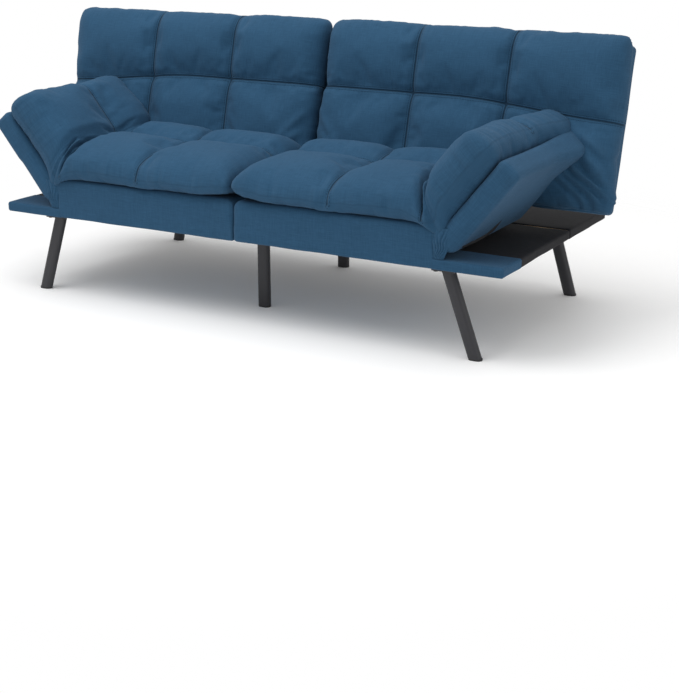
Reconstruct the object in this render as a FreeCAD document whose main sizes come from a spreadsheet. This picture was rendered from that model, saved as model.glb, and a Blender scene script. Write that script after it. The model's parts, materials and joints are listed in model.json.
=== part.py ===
"""Split-back futon sofa bed: two upholstered units side by side on six legs.

Millimetres.  +X is to the viewer's right, the front faces -Y, +Z is up, and the origin is on the floor
under the middle of the whole object.  It stands in its sofa pose: both backs up, both arms raised.
The right-hand unit is built, and the left-hand one is its mirror image.  Pieces of a back or of an arm
are drawn as they lie when flat, about their own hinge axis, and are then turned up by the hinge's angle.
"""
import FreeCAD, Part
import os
import re
import Sketcher
from FreeCAD import Vector

# Driving dimensions: alias, value in millimetres or degrees, and what it is.
DIMENSIONS = [
    ("seat_front", -374, "Y of the front face of the seat boxes"),
    ("half_gap", 1, "half of the gap between the two units"),
    ("leg_height", 238, "floor to the underside of the platform"),
    ("cloth", 2, "thickness of a fabric cover with its wadding"),
    ("wadding", 6, "soft layer between a cover and the timber's edges"),
    ("felt", 1, "thickness of the black non-woven lining"),
    ("lining_margin", 30, "width of fabric turned in round a lining"),
    ("lining_lap", 10, "how far a lining reaches past its window"),
    ("platform_end", 800, "X of the platform's outer end"),
    ("platform_depth", 770, "platform, front to back"),
    ("platform_thick", 28, "platform, with its cover"),
    ("platform_round", 4, "rounding of the platform's edges"),
    ("board_thick", 20, "plywood platform board"),
    ("board_gap", 0.5, "gap between the board and the top of its cover"),
    ("box_gap", 1, "seat box back from the unit's inner side"),
    ("box_end", 610, "X of the seat box's outer side"),
    ("box_depth", 466, "seat box, front to back"),
    ("box_height", 89, "seat box above the platform"),
    ("box_round", 15, "rounding of the seat box's edges"),
    ("rail", 18, "thickness of a timber rail"),
    ("rail_notch", 14, "notch in a seat rail, behind the cover's rounded edge"),
    ("seat_pad_end", 545, "X of the seat cushion's outer side"),
    ("seat_pad_rear", 390, "seat cushion's rear edge, behind the box front"),
    ("seat_pad_thick", 100, "thickness of the seat cushion"),
    ("pad_gap", 4, "cushion back from the unit's inner side"),
    ("pad_lift", 0.3, "gap between a box and the cushion on it"),
    ("pad_overhang", 22, "how far a cushion stands out past its box"),
    ("pad_round", 30, "rounding of a cushion's edges"),
    ("arm_pivot_x", 645, "X of the arm hinge axis"),
    ("arm_pivot_z", 317, "height of the arm hinge axis"),
    ("arm_raise", 51, "angle of a raised arm"),
    ("arm_half", 33, "half the thickness of the arm box, and radius of its near end"),
    ("arm_reach", 260, "arm hinge axis to the arm's outer end"),
    ("arm_length", 455, "arm box, front to back"),
    ("arm_round", 12, "rounding of the arm box's outer edges"),
    ("arm_pad_start", 32, "arm hinge axis to the arm cushion"),
    ("arm_pad_thick", 78, "thickness of the arm cushion"),
    ("back_pivot_y", 482, "back hinge axis, behind the box front"),
    ("back_pivot_z", 330, "height of the back hinge axis"),
    ("back_raise", 75, "angle of a raised back"),
    ("back_gap", 2, "back from the unit's inner side"),
    ("back_end", 905, "X of the back's outer side"),
    ("back_start", 10, "back hinge axis to the back's lower edge"),
    ("back_reach", 448, "back hinge axis to the back's top edge"),
    ("back_over", 12, "back's front face above the hinge axis, when flat"),
    ("back_under", 48, "back's rear face below the hinge axis, when flat"),
    ("back_round", 12, "rounding of the back's edges"),
    ("back_rail_start", 20, "back hinge axis to the back's timber frame"),
    ("back_rail_notch", 8, "notch in a back rail, behind the cover's rounded edge"),
    ("strap_room", 3, "room for the webbing between the frame and the cover"),
    ("strap_side", 20, "end of a webbing strap to the back's side"),
    ("strap_width", 60, "webbing strap"),
    ("strap_thick", 1.5, "webbing strap"),
    ("back_pad_thick", 82, "thickness of the back cushion"),
    ("back_pad_start", 26, "back hinge axis to the back cushion"),
    ("back_pad_inner", 600, "X where the back cushion thins to pass behind the arm"),
    ("back_pad_thin", 21, "the thinned part's thickness at its lower edge"),
    ("back_pad_full", 262, "where the thinned part is full again, from the hinge axis"),
    ("back_pad_step", 2, "how far the thinned part's outline lies inside the full part's"),
    ("back_pad_side", 10, "how far the back cushion stands out past the back's side"),
    ("hinge_steel", 4, "thickness of a hinge plate"),
    ("hinge_play", 0.3, "gap between two hinge plates"),
    ("pin_radius", 5, "hinge pin"),
    ("pin_play", 0.05, "radial clearance of a hinge pin"),
    ("pin_head", 8, "radius of a hinge pin's head"),
    ("head_thick", 3, "height of a pin's or a screw's head"),
    ("slot_play", 1.5, "clearance of a slot on each side of a hinge"),
    ("slot_room", 4, "opening in a cover beyond a hinge's rounded end"),
    ("seat_leaf", 60, "how far a seat hinge plate runs into the seat box"),
    ("arm_leaf", 102, "length of an arm hinge plate"),
    ("back_leaf", 110, "length of a back hinge plate"),
    ("back_leaf_low", 11, "back hinge plate below the hinge axis"),
    ("back_leaf_high", 6, "back hinge plate above the hinge axis, and radius of its end"),
    ("bracket_side", 24, "width of a bracket's foot"),
    ("bracket_rear", 50, "bracket's foot behind the hinge axis"),
    ("bracket_thick", 3, "bracket's foot"),
    ("arm_knuckle", 12, "radius of the arm hinge's rounded end"),
    ("back_knuckle", 14, "radius of the back hinge's rounded end"),
    ("spring_wire", 1.75, "radius of the zigzag spring wire"),
    ("spring_bend", 17, "radius of a zigzag spring's bends"),
    ("spring_half", 24, "half the straight run between two bends"),
    ("spring_inset", 8, "springs from the cover, front and rear"),
    ("spring_side", 70, "middle of an outer spring to the unit's side"),
    ("spring_room", 1, "gap between the springs and the cover"),
    ("spring_lift", 0.1, "gap between the rails and the springs on them"),
    ("leg_width", 38, "leg tube, across"),
    ("leg_depth", 26, "leg tube, front to back"),
    ("leg_wall", 2, "leg tube's wall"),
    ("leg_round", 12.5, "rounding of the leg tube"),
    ("foot_thick", 5, "plastic foot cap below the tube"),
    ("plate_thick", 4, "steel leg plate"),
    ("plate_size", 64, "side of the square leg plate"),
    ("screw_radius", 3, "leg screw"),
    ("screw_inset", 23, "leg screw from the plate's middle, each way"),
    ("screw_grip", 20, "leg screw's length in the board"),
    ("hole_play", 0.2, "radial clearance of a bolt or screw hole"),
    ("join_radius", 4, "bolt that joins the two units"),
    ("join_head", 6.4, "radius of that bolt's head"),
    ("join_head_thick", 6, "height of that bolt's head"),
    ("join_nut", 7.2, "radius of its nut"),
    ("join_nut_thick", 7, "height of its nut"),
    ("join_end", 3, "bolt past its nut"),
    ("recess_start", 40, "unit's inner side to the recess for a bolt's head or nut"),
    ("recess_length", 30, "length of that recess"),
    ("recess_half", 12, "half the width of that recess"),
    ("recess_over", 9, "recess above the bolt's middle"),
]
SPRING_COUNT = 4
# Legs: name, foot X and Y, top X and Y, and the X of the leg's plate.  Y is measured from the front of
# the seat boxes.
LEGS = [
    ("leg_front_right", 712, 48, 630, 42, 630),
    ("leg_front_left", -712, 48, -630, 42, -630),
    ("leg_rear_right", 712, 745, 650, 722, 650),
    ("leg_rear_left", -712, 745, -650, 722, -650),
    ("leg_middle_front", -24, 200, -24, 200, -37),
    ("leg_middle_rear", -40, 705, -40, 705, -40),
]
BACK_HINGES_X = (60, 540)
ARM_HINGES_Y = (70, 375)
JOIN_BOLTS_Y = (110, 420, 640)
STRAPS_Y = (60, 165, 270, 365)

doc = FreeCAD.newDocument("futon_sofa_bed")
sheet = doc.addObject("Spreadsheet::Sheet", "numbers")
for row, (alias, value, meaning) in enumerate(DIMENSIONS, start=1):
    sheet.set("A%d" % row, str(value))
    sheet.setAlias("A%d" % row, alias)
    sheet.set("B%d" % row, meaning)
doc.recompute()
ALIASES = {alias for alias, value, meaning in DIMENSIONS}
nodes = []


def cells(text):
    """An expression with each alias written as a cell of the sheet."""
    def named(match):
        word = match.group()
        return "numbers." + word if word in ALIASES else word
    return re.sub(r"[a-z_]+", named, str(text))


def number(text):
    """The value of an expression, for a shape that is made directly."""
    return float(sheet.evalExpression(cells(text)))


def place(obj, x=0, y=0, z=0):
    for axis, text in zip("xyz", (x, y, z)):
        obj.setExpression(".Placement.Base." + axis, cells(text))
    return obj


def box(name, x, y, z):
    """A block between two expressions along each axis."""
    obj = doc.addObject("Part::Box", name)
    for prop, (low, high) in zip(("Length", "Width", "Height"), (x, y, z)):
        obj.setExpression(prop, cells("(%s) - (%s)" % (high, low)))
    return place(obj, x[0], y[0], z[0])


def rod(name, radius, axis, start, length):
    """A cylinder along axis from a start point of three expressions."""
    obj = doc.addObject("Part::Cylinder", name)
    obj.setExpression("Radius", cells(radius))
    obj.setExpression("Height", cells(length))
    obj.Placement.Rotation = FreeCAD.Rotation(Vector(0, 0, 1), Vector(*axis))
    return place(obj, *start)


def fuse(name, shapes):
    obj = doc.addObject("Part::MultiFuse", name)
    obj.Shapes = shapes
    return obj


def cut(name, base, tools):
    """base less all the tools."""
    tool = tools[0] if len(tools) == 1 else fuse(name + "_tools", tools)
    obj = doc.addObject("Part::Cut", name)
    obj.Base = base
    obj.Tool = tool
    return obj


def group(name, shapes):
    obj = doc.addObject("Part::Compound", name)
    obj.Links = shapes
    return obj


def sketch_on(body, role, name, offset="0"):
    """An empty sketch on one of the body's own origin planes, moved along the plane's normal."""
    plane = [item for item in body.Origin.OriginFeatures if item.Role == role][0]
    sketch = body.newObject("Sketcher::SketchObject", name)
    sketch.AttachmentSupport = [(plane, "")]
    sketch.MapMode = "FlatFace"
    sketch.setExpression(".AttachmentOffset.Base.z", cells(offset))
    return sketch


def hold(sketch, name, kind, first, second, text):
    """A named distance or radius bound to the sheet."""
    size = number(text)
    where = [first] if second is None else [first[0], first[1], second[0], second[1]]
    index = sketch.addConstraint(Sketcher.Constraint(kind, *where, size))
    sketch.renameConstraint(index, name)
    sketch.setExpression("Constraints." + name, cells(text))


def outline(sketch, across, up, radius):
    """A rectangle with rounded corners, held by its four sides and its radius."""
    left, right = (number(text) for text in across)
    low, high = (number(text) for text in up)
    r = number(radius)
    ends = [(Vector(left + r, low), Vector(right - r, low)),
            (Vector(right, low + r), Vector(right, high - r)),
            (Vector(right - r, high), Vector(left + r, high)),
            (Vector(left, high - r), Vector(left, low + r))]
    middles = [Vector(right - r, low + r), Vector(right - r, high - r), Vector(left + r, high - r),
               Vector(left + r, low + r)]
    quarter = FreeCAD.Units.Quantity("90 deg").getValueAs("rad").Value
    for start, end in ends:
        sketch.addGeometry(Part.LineSegment(start, end))
    for turn, middle in enumerate(middles):
        circle = Part.Circle(middle, Vector(0, 0, 1), r)
        sketch.addGeometry(Part.ArcOfCircle(circle, (turn - 1) * quarter, turn * quarter))
    for side in range(4):
        sketch.addConstraint(Sketcher.Constraint("Tangent", side, 2, 4 + side, 1))
        sketch.addConstraint(Sketcher.Constraint("Tangent", 4 + side, 2, (side + 1) % 4, 1))
        sketch.addConstraint(Sketcher.Constraint("Vertical" if side % 2 else "Horizontal", side))
    for corner in range(5, 8):
        sketch.addConstraint(Sketcher.Constraint("Equal", 4, corner))
    hold(sketch, "rounding", "Radius", 4, None, radius)
    hold(sketch, "left_side", "DistanceX", (-1, 1), (3, 1), across[0])
    hold(sketch, "right_side", "DistanceX", (-1, 1), (1, 1), across[1])
    hold(sketch, "low_side", "DistanceY", (-1, 1), (0, 1), up[0])
    hold(sketch, "high_side", "DistanceY", (-1, 1), (2, 1), up[1])


def polygon(sketch, corners):
    """Straight lines through corners given as pairs of expressions."""
    points = [Vector(number(x), number(y)) for x, y in corners]
    count = len(points)
    for index, point in enumerate(points):
        sketch.addGeometry(Part.LineSegment(point, points[(index + 1) % count]))
    for index in range(count):
        sketch.addConstraint(Sketcher.Constraint("Coincident", index, 2, (index + 1) % count, 1))
    for index, (x, y) in enumerate(corners):
        hold(sketch, "across_%s" % "abcdefgh"[index], "DistanceX", (-1, 1), (index, 1), x)
        hold(sketch, "up_%s" % "abcdefgh"[index], "DistanceY", (-1, 1), (index, 1), y)


def pad(body, sketch, length, reverse=False):
    feature = body.newObject("PartDesign::Pad", sketch.Name + "_pad")
    feature.Profile = sketch
    feature.setExpression("Length", cells(length))
    feature.Reversed = reverse
    return feature


def pocket(body, sketch, length, reverse=False):
    feature = body.newObject("PartDesign::Pocket", sketch.Name + "_pocket")
    feature.Profile = sketch
    feature.setExpression("Length", cells(length))
    feature.Reversed = reverse
    return feature


def solid_body(name, across, along, up, radius):
    """A rounded bar: a rectangle in X and Z with rounded corners, drawn out along Y."""
    body = doc.addObject("PartDesign::Body", name)
    shape = sketch_on(body, "XZ_Plane", name + "_outline", "-(%s)" % along[0])
    outline(shape, across, up, radius)
    pad(body, shape, "(%s) - (%s)" % (along[1], along[0]), reverse=True)
    return body


def casing(name, across, along, up, radius):
    """A hollow fabric cover, with a window in its underside for a lining."""
    body = solid_body(name, across, along, up, radius)
    inside = sketch_on(body, "XZ_Plane", name + "_inside", "-(%s + cloth)" % along[0])
    narrow = ["%s + cloth" % across[0], "%s - cloth" % across[1]]
    low = ["%s + cloth" % up[0], "%s - cloth" % up[1]]
    outline(inside, narrow, low, "%s - cloth" % radius)
    pocket(body, inside, "(%s) - (%s) - 2 * cloth" % (along[1], along[0]))
    window = sketch_on(body, "XY_Plane", name + "_window", up[0])
    margins = [("%s + lining_margin" % low_side, "%s - lining_margin" % high_side)
               for low_side, high_side in (across, along)]
    outline(window, margins[0], margins[1], "cloth")
    pocket(body, window, "cloth", reverse=True)
    return body


def lining(name, across, along, low):
    """The thin panel that closes a casing's window from the inside."""
    lap = "lining_margin - lining_lap"
    sides = [("%s + %s" % (first, lap), "%s - (%s)" % (last, lap)) for first, last in (across, along)]
    panel = box(name + "_panel", sides[0], sides[1], ("%s + cloth" % low, "%s + cloth + felt" % low))
    return group(name, [panel])


def frame(name, across, along, up, crossings):
    """A timber frame: four rails and a number of rails across it, front to back."""
    inner = ["%s + rail" % across[0], "%s - rail" % across[1]]
    pieces = [box(name + "_near", across, (along[0], "%s + rail" % along[0]), up),
              box(name + "_far", across, ("%s - rail" % along[1], along[1]), up),
              box(name + "_inner", (across[0], inner[0]), along, up),
              box(name + "_outer", (inner[1], across[1]), along, up)]
    for index in range(1, crossings + 1):
        middle = "%s + ((%s) - (%s)) * %d / %d" % (inner[0], inner[1], inner[0], index, crossings + 1)
        pieces.append(box(name + "_cross", ("%s - rail / 2" % middle, "%s + rail / 2" % middle), along, up))
    return fuse(name, pieces)


def finish(obj, label, pivot=None, mirrored=True):
    """Name a piece for its file, turn it up about its hinge, and mirror it for the left-hand unit."""
    obj.Label = label + "_right" if mirrored else label
    if pivot == "arm":
        obj.Placement.Rotation = FreeCAD.Rotation(Vector(0, -1, 0), number("arm_raise"))
        obj.setExpression(".Placement.Rotation.Angle", cells("arm_raise * 1 deg"))
        place(obj, "arm_pivot_x", "seat_front", "arm_pivot_z")
    if pivot == "back":
        obj.Placement.Rotation = FreeCAD.Rotation(Vector(1, 0, 0), number("back_raise"))
        obj.setExpression(".Placement.Rotation.Angle", cells("back_raise * 1 deg"))
        place(obj, 0, "seat_front + back_pivot_y", "back_pivot_z")
    nodes.append(obj)
    if mirrored:
        other = doc.addObject("Part::Mirroring", label + "_left")
        other.Source = obj
        other.Normal = Vector(1, 0, 0)
        nodes.append(other)


def platform():
    """The low board that carries the boxes, the backs and the legs, in its fabric cover."""
    across = ("half_gap", "platform_end")
    along = ("seat_front", "seat_front + platform_depth")
    up = ("leg_height", "leg_height + platform_thick")
    cover = casing("platform_cover", across, along, up, "platform_round")
    bolts = [rod("cover_hole", "join_radius + hole_play", (1, 0, 0),
                 ("half_gap - 1", "seat_front + %d" % y, "leg_height + platform_thick / 2"), "cloth + 2")
             for y in JOIN_BOLTS_Y]
    finish(cut("platform_cover_cut", cover, bolts), "platform_cover")
    room = [("%s + cloth + wadding" % low, "%s - cloth - wadding" % high) for low, high in (across, along)]
    top = "leg_height + platform_thick - cloth - board_gap"
    board = box("board", room[0], room[1], ("%s - board_thick" % top, top))
    tunnels = [rod("board_hole", "join_radius + hole_play", (1, 0, 0),
                   ("half_gap", "seat_front + %d" % y, "leg_height + platform_thick / 2"),
                   "recess_start + recess_length")
               for y in JOIN_BOLTS_Y]
    recesses = [box("board_recess",
                    ("half_gap + recess_start", "half_gap + recess_start + recess_length"),
                    ("seat_front + %d - recess_half" % y, "seat_front + %d + recess_half" % y),
                    ("leg_height", "leg_height + platform_thick / 2 + recess_over"))
                for y in JOIN_BOLTS_Y]
    finish(cut("board_cut", board, tunnels + recesses), "platform_board")
    finish(lining("dust_cover", across, along, "leg_height"), "dust_cover")


def seat():
    """The seat box on the platform: cover, timber frame, springs and cushion."""
    base = "leg_height + platform_thick"
    across = ("half_gap + box_gap", "box_end")
    along = ("seat_front", "seat_front + box_depth")
    cover = casing("seat_cover", across, along, (base, base + " + box_height"), "box_round")
    slots = [box("seat_slot", ("box_end - 2 * cloth", "box_end + 1"),
                 ("seat_front + %d - slot_play" % y, "seat_front + %d + hinge_steel + slot_play" % y),
                 ("arm_pivot_z - arm_knuckle - slot_play", "arm_pivot_z + arm_knuckle + slot_play"))
             for y in ARM_HINGES_Y]
    finish(cut("seat_cover_cut", cover, slots), "seat_cover")
    room = [("%s + cloth + wadding" % low, "%s - cloth - wadding" % high) for low, high in (across, along)]
    low = base + " + cloth + felt"
    top = base + " + box_height - cloth - 2 * spring_wire - spring_room"
    rails = frame("seat_rails", room[0], room[1], (low, top), 2)
    shaved = [box("rail_slot", ("box_end - seat_leaf", "box_end"),
                  ("seat_front + %d" % y, "seat_front + %d + hinge_steel" % y),
                  ("arm_pivot_z - arm_knuckle", "arm_pivot_z + arm_knuckle"))
              for y in ARM_HINGES_Y]
    sides = [("%s - 1" % room[0][0], "%s + rail_notch" % room[0][0]),
             ("%s - rail_notch" % room[0][1], "%s + 1" % room[0][1])]
    levels = [(low + " - 1", low + " + rail_notch"), (top + " - rail_notch", top + " + 1")]
    rounded = [box("rail_edge", side, along, level) for side in sides for level in levels]
    finish(cut("seat_rails_cut", rails, shaved + rounded), "seat_frame")
    finish(springs(top), "seat_springs")
    pad_low = base + " + box_height + pad_lift"
    cushion = solid_body("seat_pad", ("half_gap + pad_gap", "seat_pad_end"),
                         ("seat_front - pad_overhang", "seat_front + seat_pad_rear"),
                         (pad_low, pad_low + " + seat_pad_thick"), "pad_round")
    finish(cushion, "seat_cushion")


def springs(top):
    """Zigzag springs from the front rail to the rear rail: straight runs joined by half-round bends."""
    bend = number("spring_bend")
    half = number("spring_half")
    front = number("seat_front + cloth + spring_inset")
    back = number("seat_front + box_depth - cloth - spring_inset")
    height = number(top + " + spring_wire + spring_lift")
    runs = int((back - front) / (2 * bend))
    first = number("half_gap + spring_side")
    last = number("box_end - spring_side")
    coils = []
    for index in range(SPRING_COUNT):
        middle = first + (last - first) * index / (SPRING_COUNT - 1)
        edges = []
        for run in range(runs):
            y = front + 2 * bend * run
            side = half if run % 2 == 0 else -half
            start = Vector(middle - side, y, height)
            end = Vector(middle + side, y, height)
            edges.append(Part.LineSegment(start, end).toShape())
            if run < runs - 1:
                out = Vector(middle + side + (bend if side > 0 else -bend), y + bend, height)
                edges.append(Part.Arc(end, out, Vector(end.x, y + 2 * bend, height)).toShape())
        path = Part.Wire(edges)
        start = edges[0].Vertexes[0].Point
        ring = Part.Wire([Part.makeCircle(number("spring_wire"), start, Vector(1, 0, 0))])
        coils.append(path.makePipeShell([ring], True, False))
    spring = doc.addObject("Part::Feature", "spring_wires")
    spring.Shape = Part.makeCompound(coils)
    return spring


def arm():
    """The folding arm, drawn flat about its hinge axis, with Y measured from the front of the seat box."""
    body = doc.addObject("PartDesign::Body", "arm_shell")
    shape = sketch_on(body, "XZ_Plane", "arm_outline")
    arm_outline(shape, "arm_half", "arm_reach", "arm_round")
    pad(body, shape, "arm_length", reverse=True)
    inside = sketch_on(body, "XZ_Plane", "arm_inside", "-cloth")
    arm_outline(inside, "arm_half - cloth", "arm_reach - cloth", "arm_round - cloth")
    pocket(body, inside, "arm_length - 2 * cloth")
    across = ("0", "arm_reach")
    along = ("0", "arm_length")
    window = sketch_on(body, "XY_Plane", "arm_window", "-arm_half")
    outline(window, ("lining_margin", "arm_reach - lining_margin"),
            ("lining_margin", "arm_length - lining_margin"), "cloth")
    pocket(body, window, "cloth", reverse=True)
    slots = [box("arm_slot", ("-arm_half - 1", "arm_knuckle + slot_room"),
                 ("%d - slot_play" % y, "%d + hinge_steel + slot_play" % y),
                 ("-arm_knuckle - slot_room", "arm_half + 1"))
             for y in ARM_HINGES_Y]
    finish(cut("arm_cover_cut", body, slots), "arm_cover", "arm")
    finish(lining("arm_felt", across, along, "-arm_half"), "arm_lining", "arm")
    room = ("arm_pad_start", "arm_reach - cloth - wadding")
    rails = frame("arm_rails", room, ("cloth + wadding", "arm_length - cloth - wadding"),
                  ("-arm_half + cloth + felt + wadding", "arm_half - cloth - wadding"), 1)
    leaf_slots = [box("arm_leaf_slot", ("arm_pad_start - 1", "arm_pad_start + rail + 1"),
                      ("%d + hinge_steel + hinge_play" % y, "%d + 2 * hinge_steel + hinge_play" % y),
                      ("-arm_knuckle", "arm_knuckle"))
                  for y in ARM_HINGES_Y]
    finish(cut("arm_rails_cut", rails, leaf_slots), "arm_frame", "arm")
    cushion = solid_body("arm_pad", ("arm_pad_start", "arm_reach + pad_overhang"),
                         ("-pad_overhang", "seat_pad_rear"),
                         ("arm_half + pad_lift", "arm_half + pad_lift + arm_pad_thick"), "pad_round")
    finish(cushion, "arm_cushion", "arm")


def arm_outline(sketch, half, reach, radius):
    """The arm's section: flat top and bottom, a half-round near end on the hinge axis."""
    size, far, r = number(half), number(reach), number(radius)
    quarter = FreeCAD.Units.Quantity("90 deg").getValueAs("rad").Value
    centre = Part.Circle(Vector(0, 0), Vector(0, 0, 1), size)
    corner = Part.Circle(Vector(far - r, size - r), Vector(0, 0, 1), r)
    sketch.addGeometry(Part.LineSegment(Vector(0, -size), Vector(far, -size)))
    sketch.addGeometry(Part.LineSegment(Vector(far, -size), Vector(far, size - r)))
    sketch.addGeometry(Part.ArcOfCircle(corner, 0, quarter))
    sketch.addGeometry(Part.LineSegment(Vector(far - r, size), Vector(0, size)))
    sketch.addGeometry(Part.ArcOfCircle(centre, quarter, 3 * quarter))
    sketch.addConstraint(Sketcher.Constraint("Coincident", 0, 2, 1, 1))
    for first, second in ((1, 2), (2, 3), (3, 4), (4, 0)):
        sketch.addConstraint(Sketcher.Constraint("Tangent", first, 2, second, 1))
    sketch.addConstraint(Sketcher.Constraint("Horizontal", 0))
    sketch.addConstraint(Sketcher.Constraint("Vertical", 1))
    sketch.addConstraint(Sketcher.Constraint("Horizontal", 3))
    sketch.addConstraint(Sketcher.Constraint("Coincident", 4, 3, -1, 1))
    hold(sketch, "near_end", "Radius", 4, None, half)
    hold(sketch, "corner", "Radius", 2, None, radius)
    hold(sketch, "reach", "DistanceX", (-1, 1), (1, 1), reach)


def back():
    """The folding back, drawn flat about its hinge axis, with Y measured from that axis."""
    across = ("half_gap + back_gap", "back_end")
    along = ("back_start", "back_reach")
    cover = casing("back_shell", across, along, ("-back_under", "back_over"), "back_round")
    notches = [box("back_notch",
                   ("%d - slot_play" % x, "%d + 2 * hinge_steel + hinge_play + slot_play" % x),
                   ("back_start - 1", "back_knuckle + slot_room"), ("-back_under - 1", "back_over + 1"))
               for x in BACK_HINGES_X]
    finish(cut("back_cover_cut", cover, notches), "back_cover", "back")
    finish(lining("back_felt", across, along, "-back_under"), "back_lining", "back")
    room = ("half_gap + back_gap + cloth + wadding", "back_end - cloth - wadding")
    top = "back_over - cloth - strap_room"
    rails = frame("back_rails", room, ("back_rail_start", "back_reach - cloth - wadding"),
                  ("-back_under + cloth + felt + wadding", top), 4)
    leaf_slots = [box("back_leaf_slot",
                      ("%d + hinge_steel + hinge_play" % x, "%d + 2 * hinge_steel + hinge_play" % x),
                      ("back_rail_start - 1", "back_leaf + 1"), ("-back_knuckle", top + " + 1"))
                  for x in BACK_HINGES_X]
    sides = [("%s - 1" % room[0], "%s + back_rail_notch" % room[0]),
             ("%s - back_rail_notch" % room[1], "%s + 1" % room[1])]
    rounded = [box("back_edge", side, ("0", "back_reach"), (top + " - back_rail_notch", top + " + 1"))
               for side in sides]
    finish(cut("back_rails_cut", rails, leaf_slots + rounded), "back_frame", "back")
    straps = [box("strap", ("half_gap + strap_side", "back_end - strap_side"),
                  (str(y), "%d + strap_width" % y), (top, top + " + strap_thick"))
              for y in STRAPS_Y]
    finish(group("straps", straps), "back_webbing", "back")
    low = "back_over + pad_lift"
    high = low + " + back_pad_thick"
    pad_end = "back_reach + pad_overhang"
    body = doc.addObject("PartDesign::Body", "back_pad")
    inner = sketch_on(body, "YZ_Plane", "back_pad_middle", "half_gap + pad_gap")
    outline(inner, ("back_pad_start", pad_end), (low, high), "pad_round / 2")
    pad(body, inner, "back_pad_inner - half_gap - pad_gap")
    outer = sketch_on(body, "YZ_Plane", "back_pad_side", "back_pad_inner")
    start, stop = "back_pad_start + back_pad_step", pad_end + " - 2 * back_pad_step"
    floor, crown = low + " + back_pad_step", high + " - back_pad_step"
    polygon(outer, [(start, floor), (stop, floor), (stop, crown), ("back_pad_full", crown),
                    (start, low + " + back_pad_thin")])
    pad(body, outer, "back_end + back_pad_side - back_pad_inner")
    finish(body, "back_cushion", "back")


def arm_hinges():
    """Steel plates and pins on which an arm folds: one half on the seat box, the other in the arm."""
    seat_half, arm_half, pins = [], [], []
    for y in ARM_HINGES_Y:
        start = "seat_front + %d" % y
        stop = start + " + hinge_steel"
        middle = ("arm_pivot_x", start, "arm_pivot_z")
        bar = box("seat_leaf_bar", ("box_end - seat_leaf", "arm_pivot_x"), (start, stop),
                  ("arm_pivot_z - arm_knuckle", "arm_pivot_z + arm_knuckle"))
        end = rod("seat_leaf_end", "arm_knuckle", (0, 1, 0), middle, "hinge_steel")
        hole = rod("seat_leaf_hole", "pin_radius", (0, 1, 0),
                   ("arm_pivot_x", start + " - 1", "arm_pivot_z"), "hinge_steel + 2")
        seat_half.append(cut("seat_leaf", fuse("seat_leaf_blank", [bar, end]), [hole]))
        shank = rod("arm_pin_shank", "pin_radius", (0, 1, 0), middle, "2 * hinge_steel + 2 * hinge_play")
        head = rod("arm_pin_head", "pin_head", (0, 1, 0),
                   ("arm_pivot_x", start + " + 2 * hinge_steel + 2 * hinge_play", "arm_pivot_z"),
                   "head_thick")
        pins.append(fuse("arm_pin", [shank, head]))
        near = "%d + hinge_steel + hinge_play" % y
        bar = box("arm_leaf_bar", ("0", "arm_leaf"), (near, near + " + hinge_steel"),
                  ("-arm_knuckle", "arm_knuckle"))
        end = rod("arm_leaf_end", "arm_knuckle", (0, 1, 0), ("0", near, "0"), "hinge_steel")
        hole = rod("arm_leaf_hole", "pin_radius + pin_play", (0, 1, 0), ("0", near + " - 1", "0"),
                   "hinge_steel + 2")
        arm_half.append(cut("arm_leaf", fuse("arm_leaf_blank", [bar, end]), [hole]))
    finish(group("seat_leaves", seat_half), "arm_hinge_seat_leaves")
    finish(group("arm_pins", pins), "arm_hinge_pins")
    finish(group("arm_leaves", arm_half), "arm_hinge_arm_leaves", "arm")


def back_hinges():
    """Steel brackets, leaves and pins on which a back folds down."""
    base = "leg_height + platform_thick"
    axis_y = "seat_front + back_pivot_y"
    brackets, leaves, pins = [], [], []
    for x in BACK_HINGES_X:
        stop = "%d + hinge_steel" % x
        post = box("bracket_post", (str(x), stop), (axis_y + " - back_knuckle", axis_y + " + back_knuckle"),
                   (base, "back_pivot_z"))
        foot = box("bracket_foot", ("%d - bracket_side" % x, stop),
                   (axis_y + " - back_knuckle", axis_y + " + bracket_rear"),
                   (base, base + " + bracket_thick"))
        top = rod("bracket_top", "back_knuckle", (1, 0, 0), (str(x), axis_y, "back_pivot_z"), "hinge_steel")
        hole = rod("bracket_hole", "pin_radius", (1, 0, 0), ("%d - 1" % x, axis_y, "back_pivot_z"),
                   "hinge_steel + 2")
        brackets.append(cut("bracket", fuse("bracket_blank", [post, foot, top]), [hole]))
        shank = rod("back_pin_shank", "pin_radius", (1, 0, 0), (str(x), axis_y, "back_pivot_z"),
                    "2 * hinge_steel + 2 * hinge_play")
        head = rod("back_pin_head", "pin_head", (1, 0, 0),
                   ("%d - head_thick" % x, axis_y, "back_pivot_z"), "head_thick")
        pins.append(fuse("back_pin", [shank, head]))
        near = "%d + hinge_steel + hinge_play" % x
        far = near + " + hinge_steel"
        bar = box("back_leaf_bar", (near, far), ("0", "back_leaf"), ("-back_leaf_low", "back_leaf_high"))
        end = rod("back_leaf_end", "back_leaf_high", (1, 0, 0), (near, "0", "0"), "hinge_steel")
        hole = rod("back_leaf_hole", "pin_radius + pin_play", (1, 0, 0), (near + " - 1", "0", "0"),
                   "hinge_steel + 2")
        leaves.append(cut("back_leaf", fuse("back_leaf_blank", [bar, end]), [hole]))
    finish(group("brackets", brackets), "back_hinge_brackets")
    finish(group("back_pins", pins), "back_hinge_pins")
    finish(group("back_leaves", leaves), "back_hinge_leaves", "back")


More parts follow.
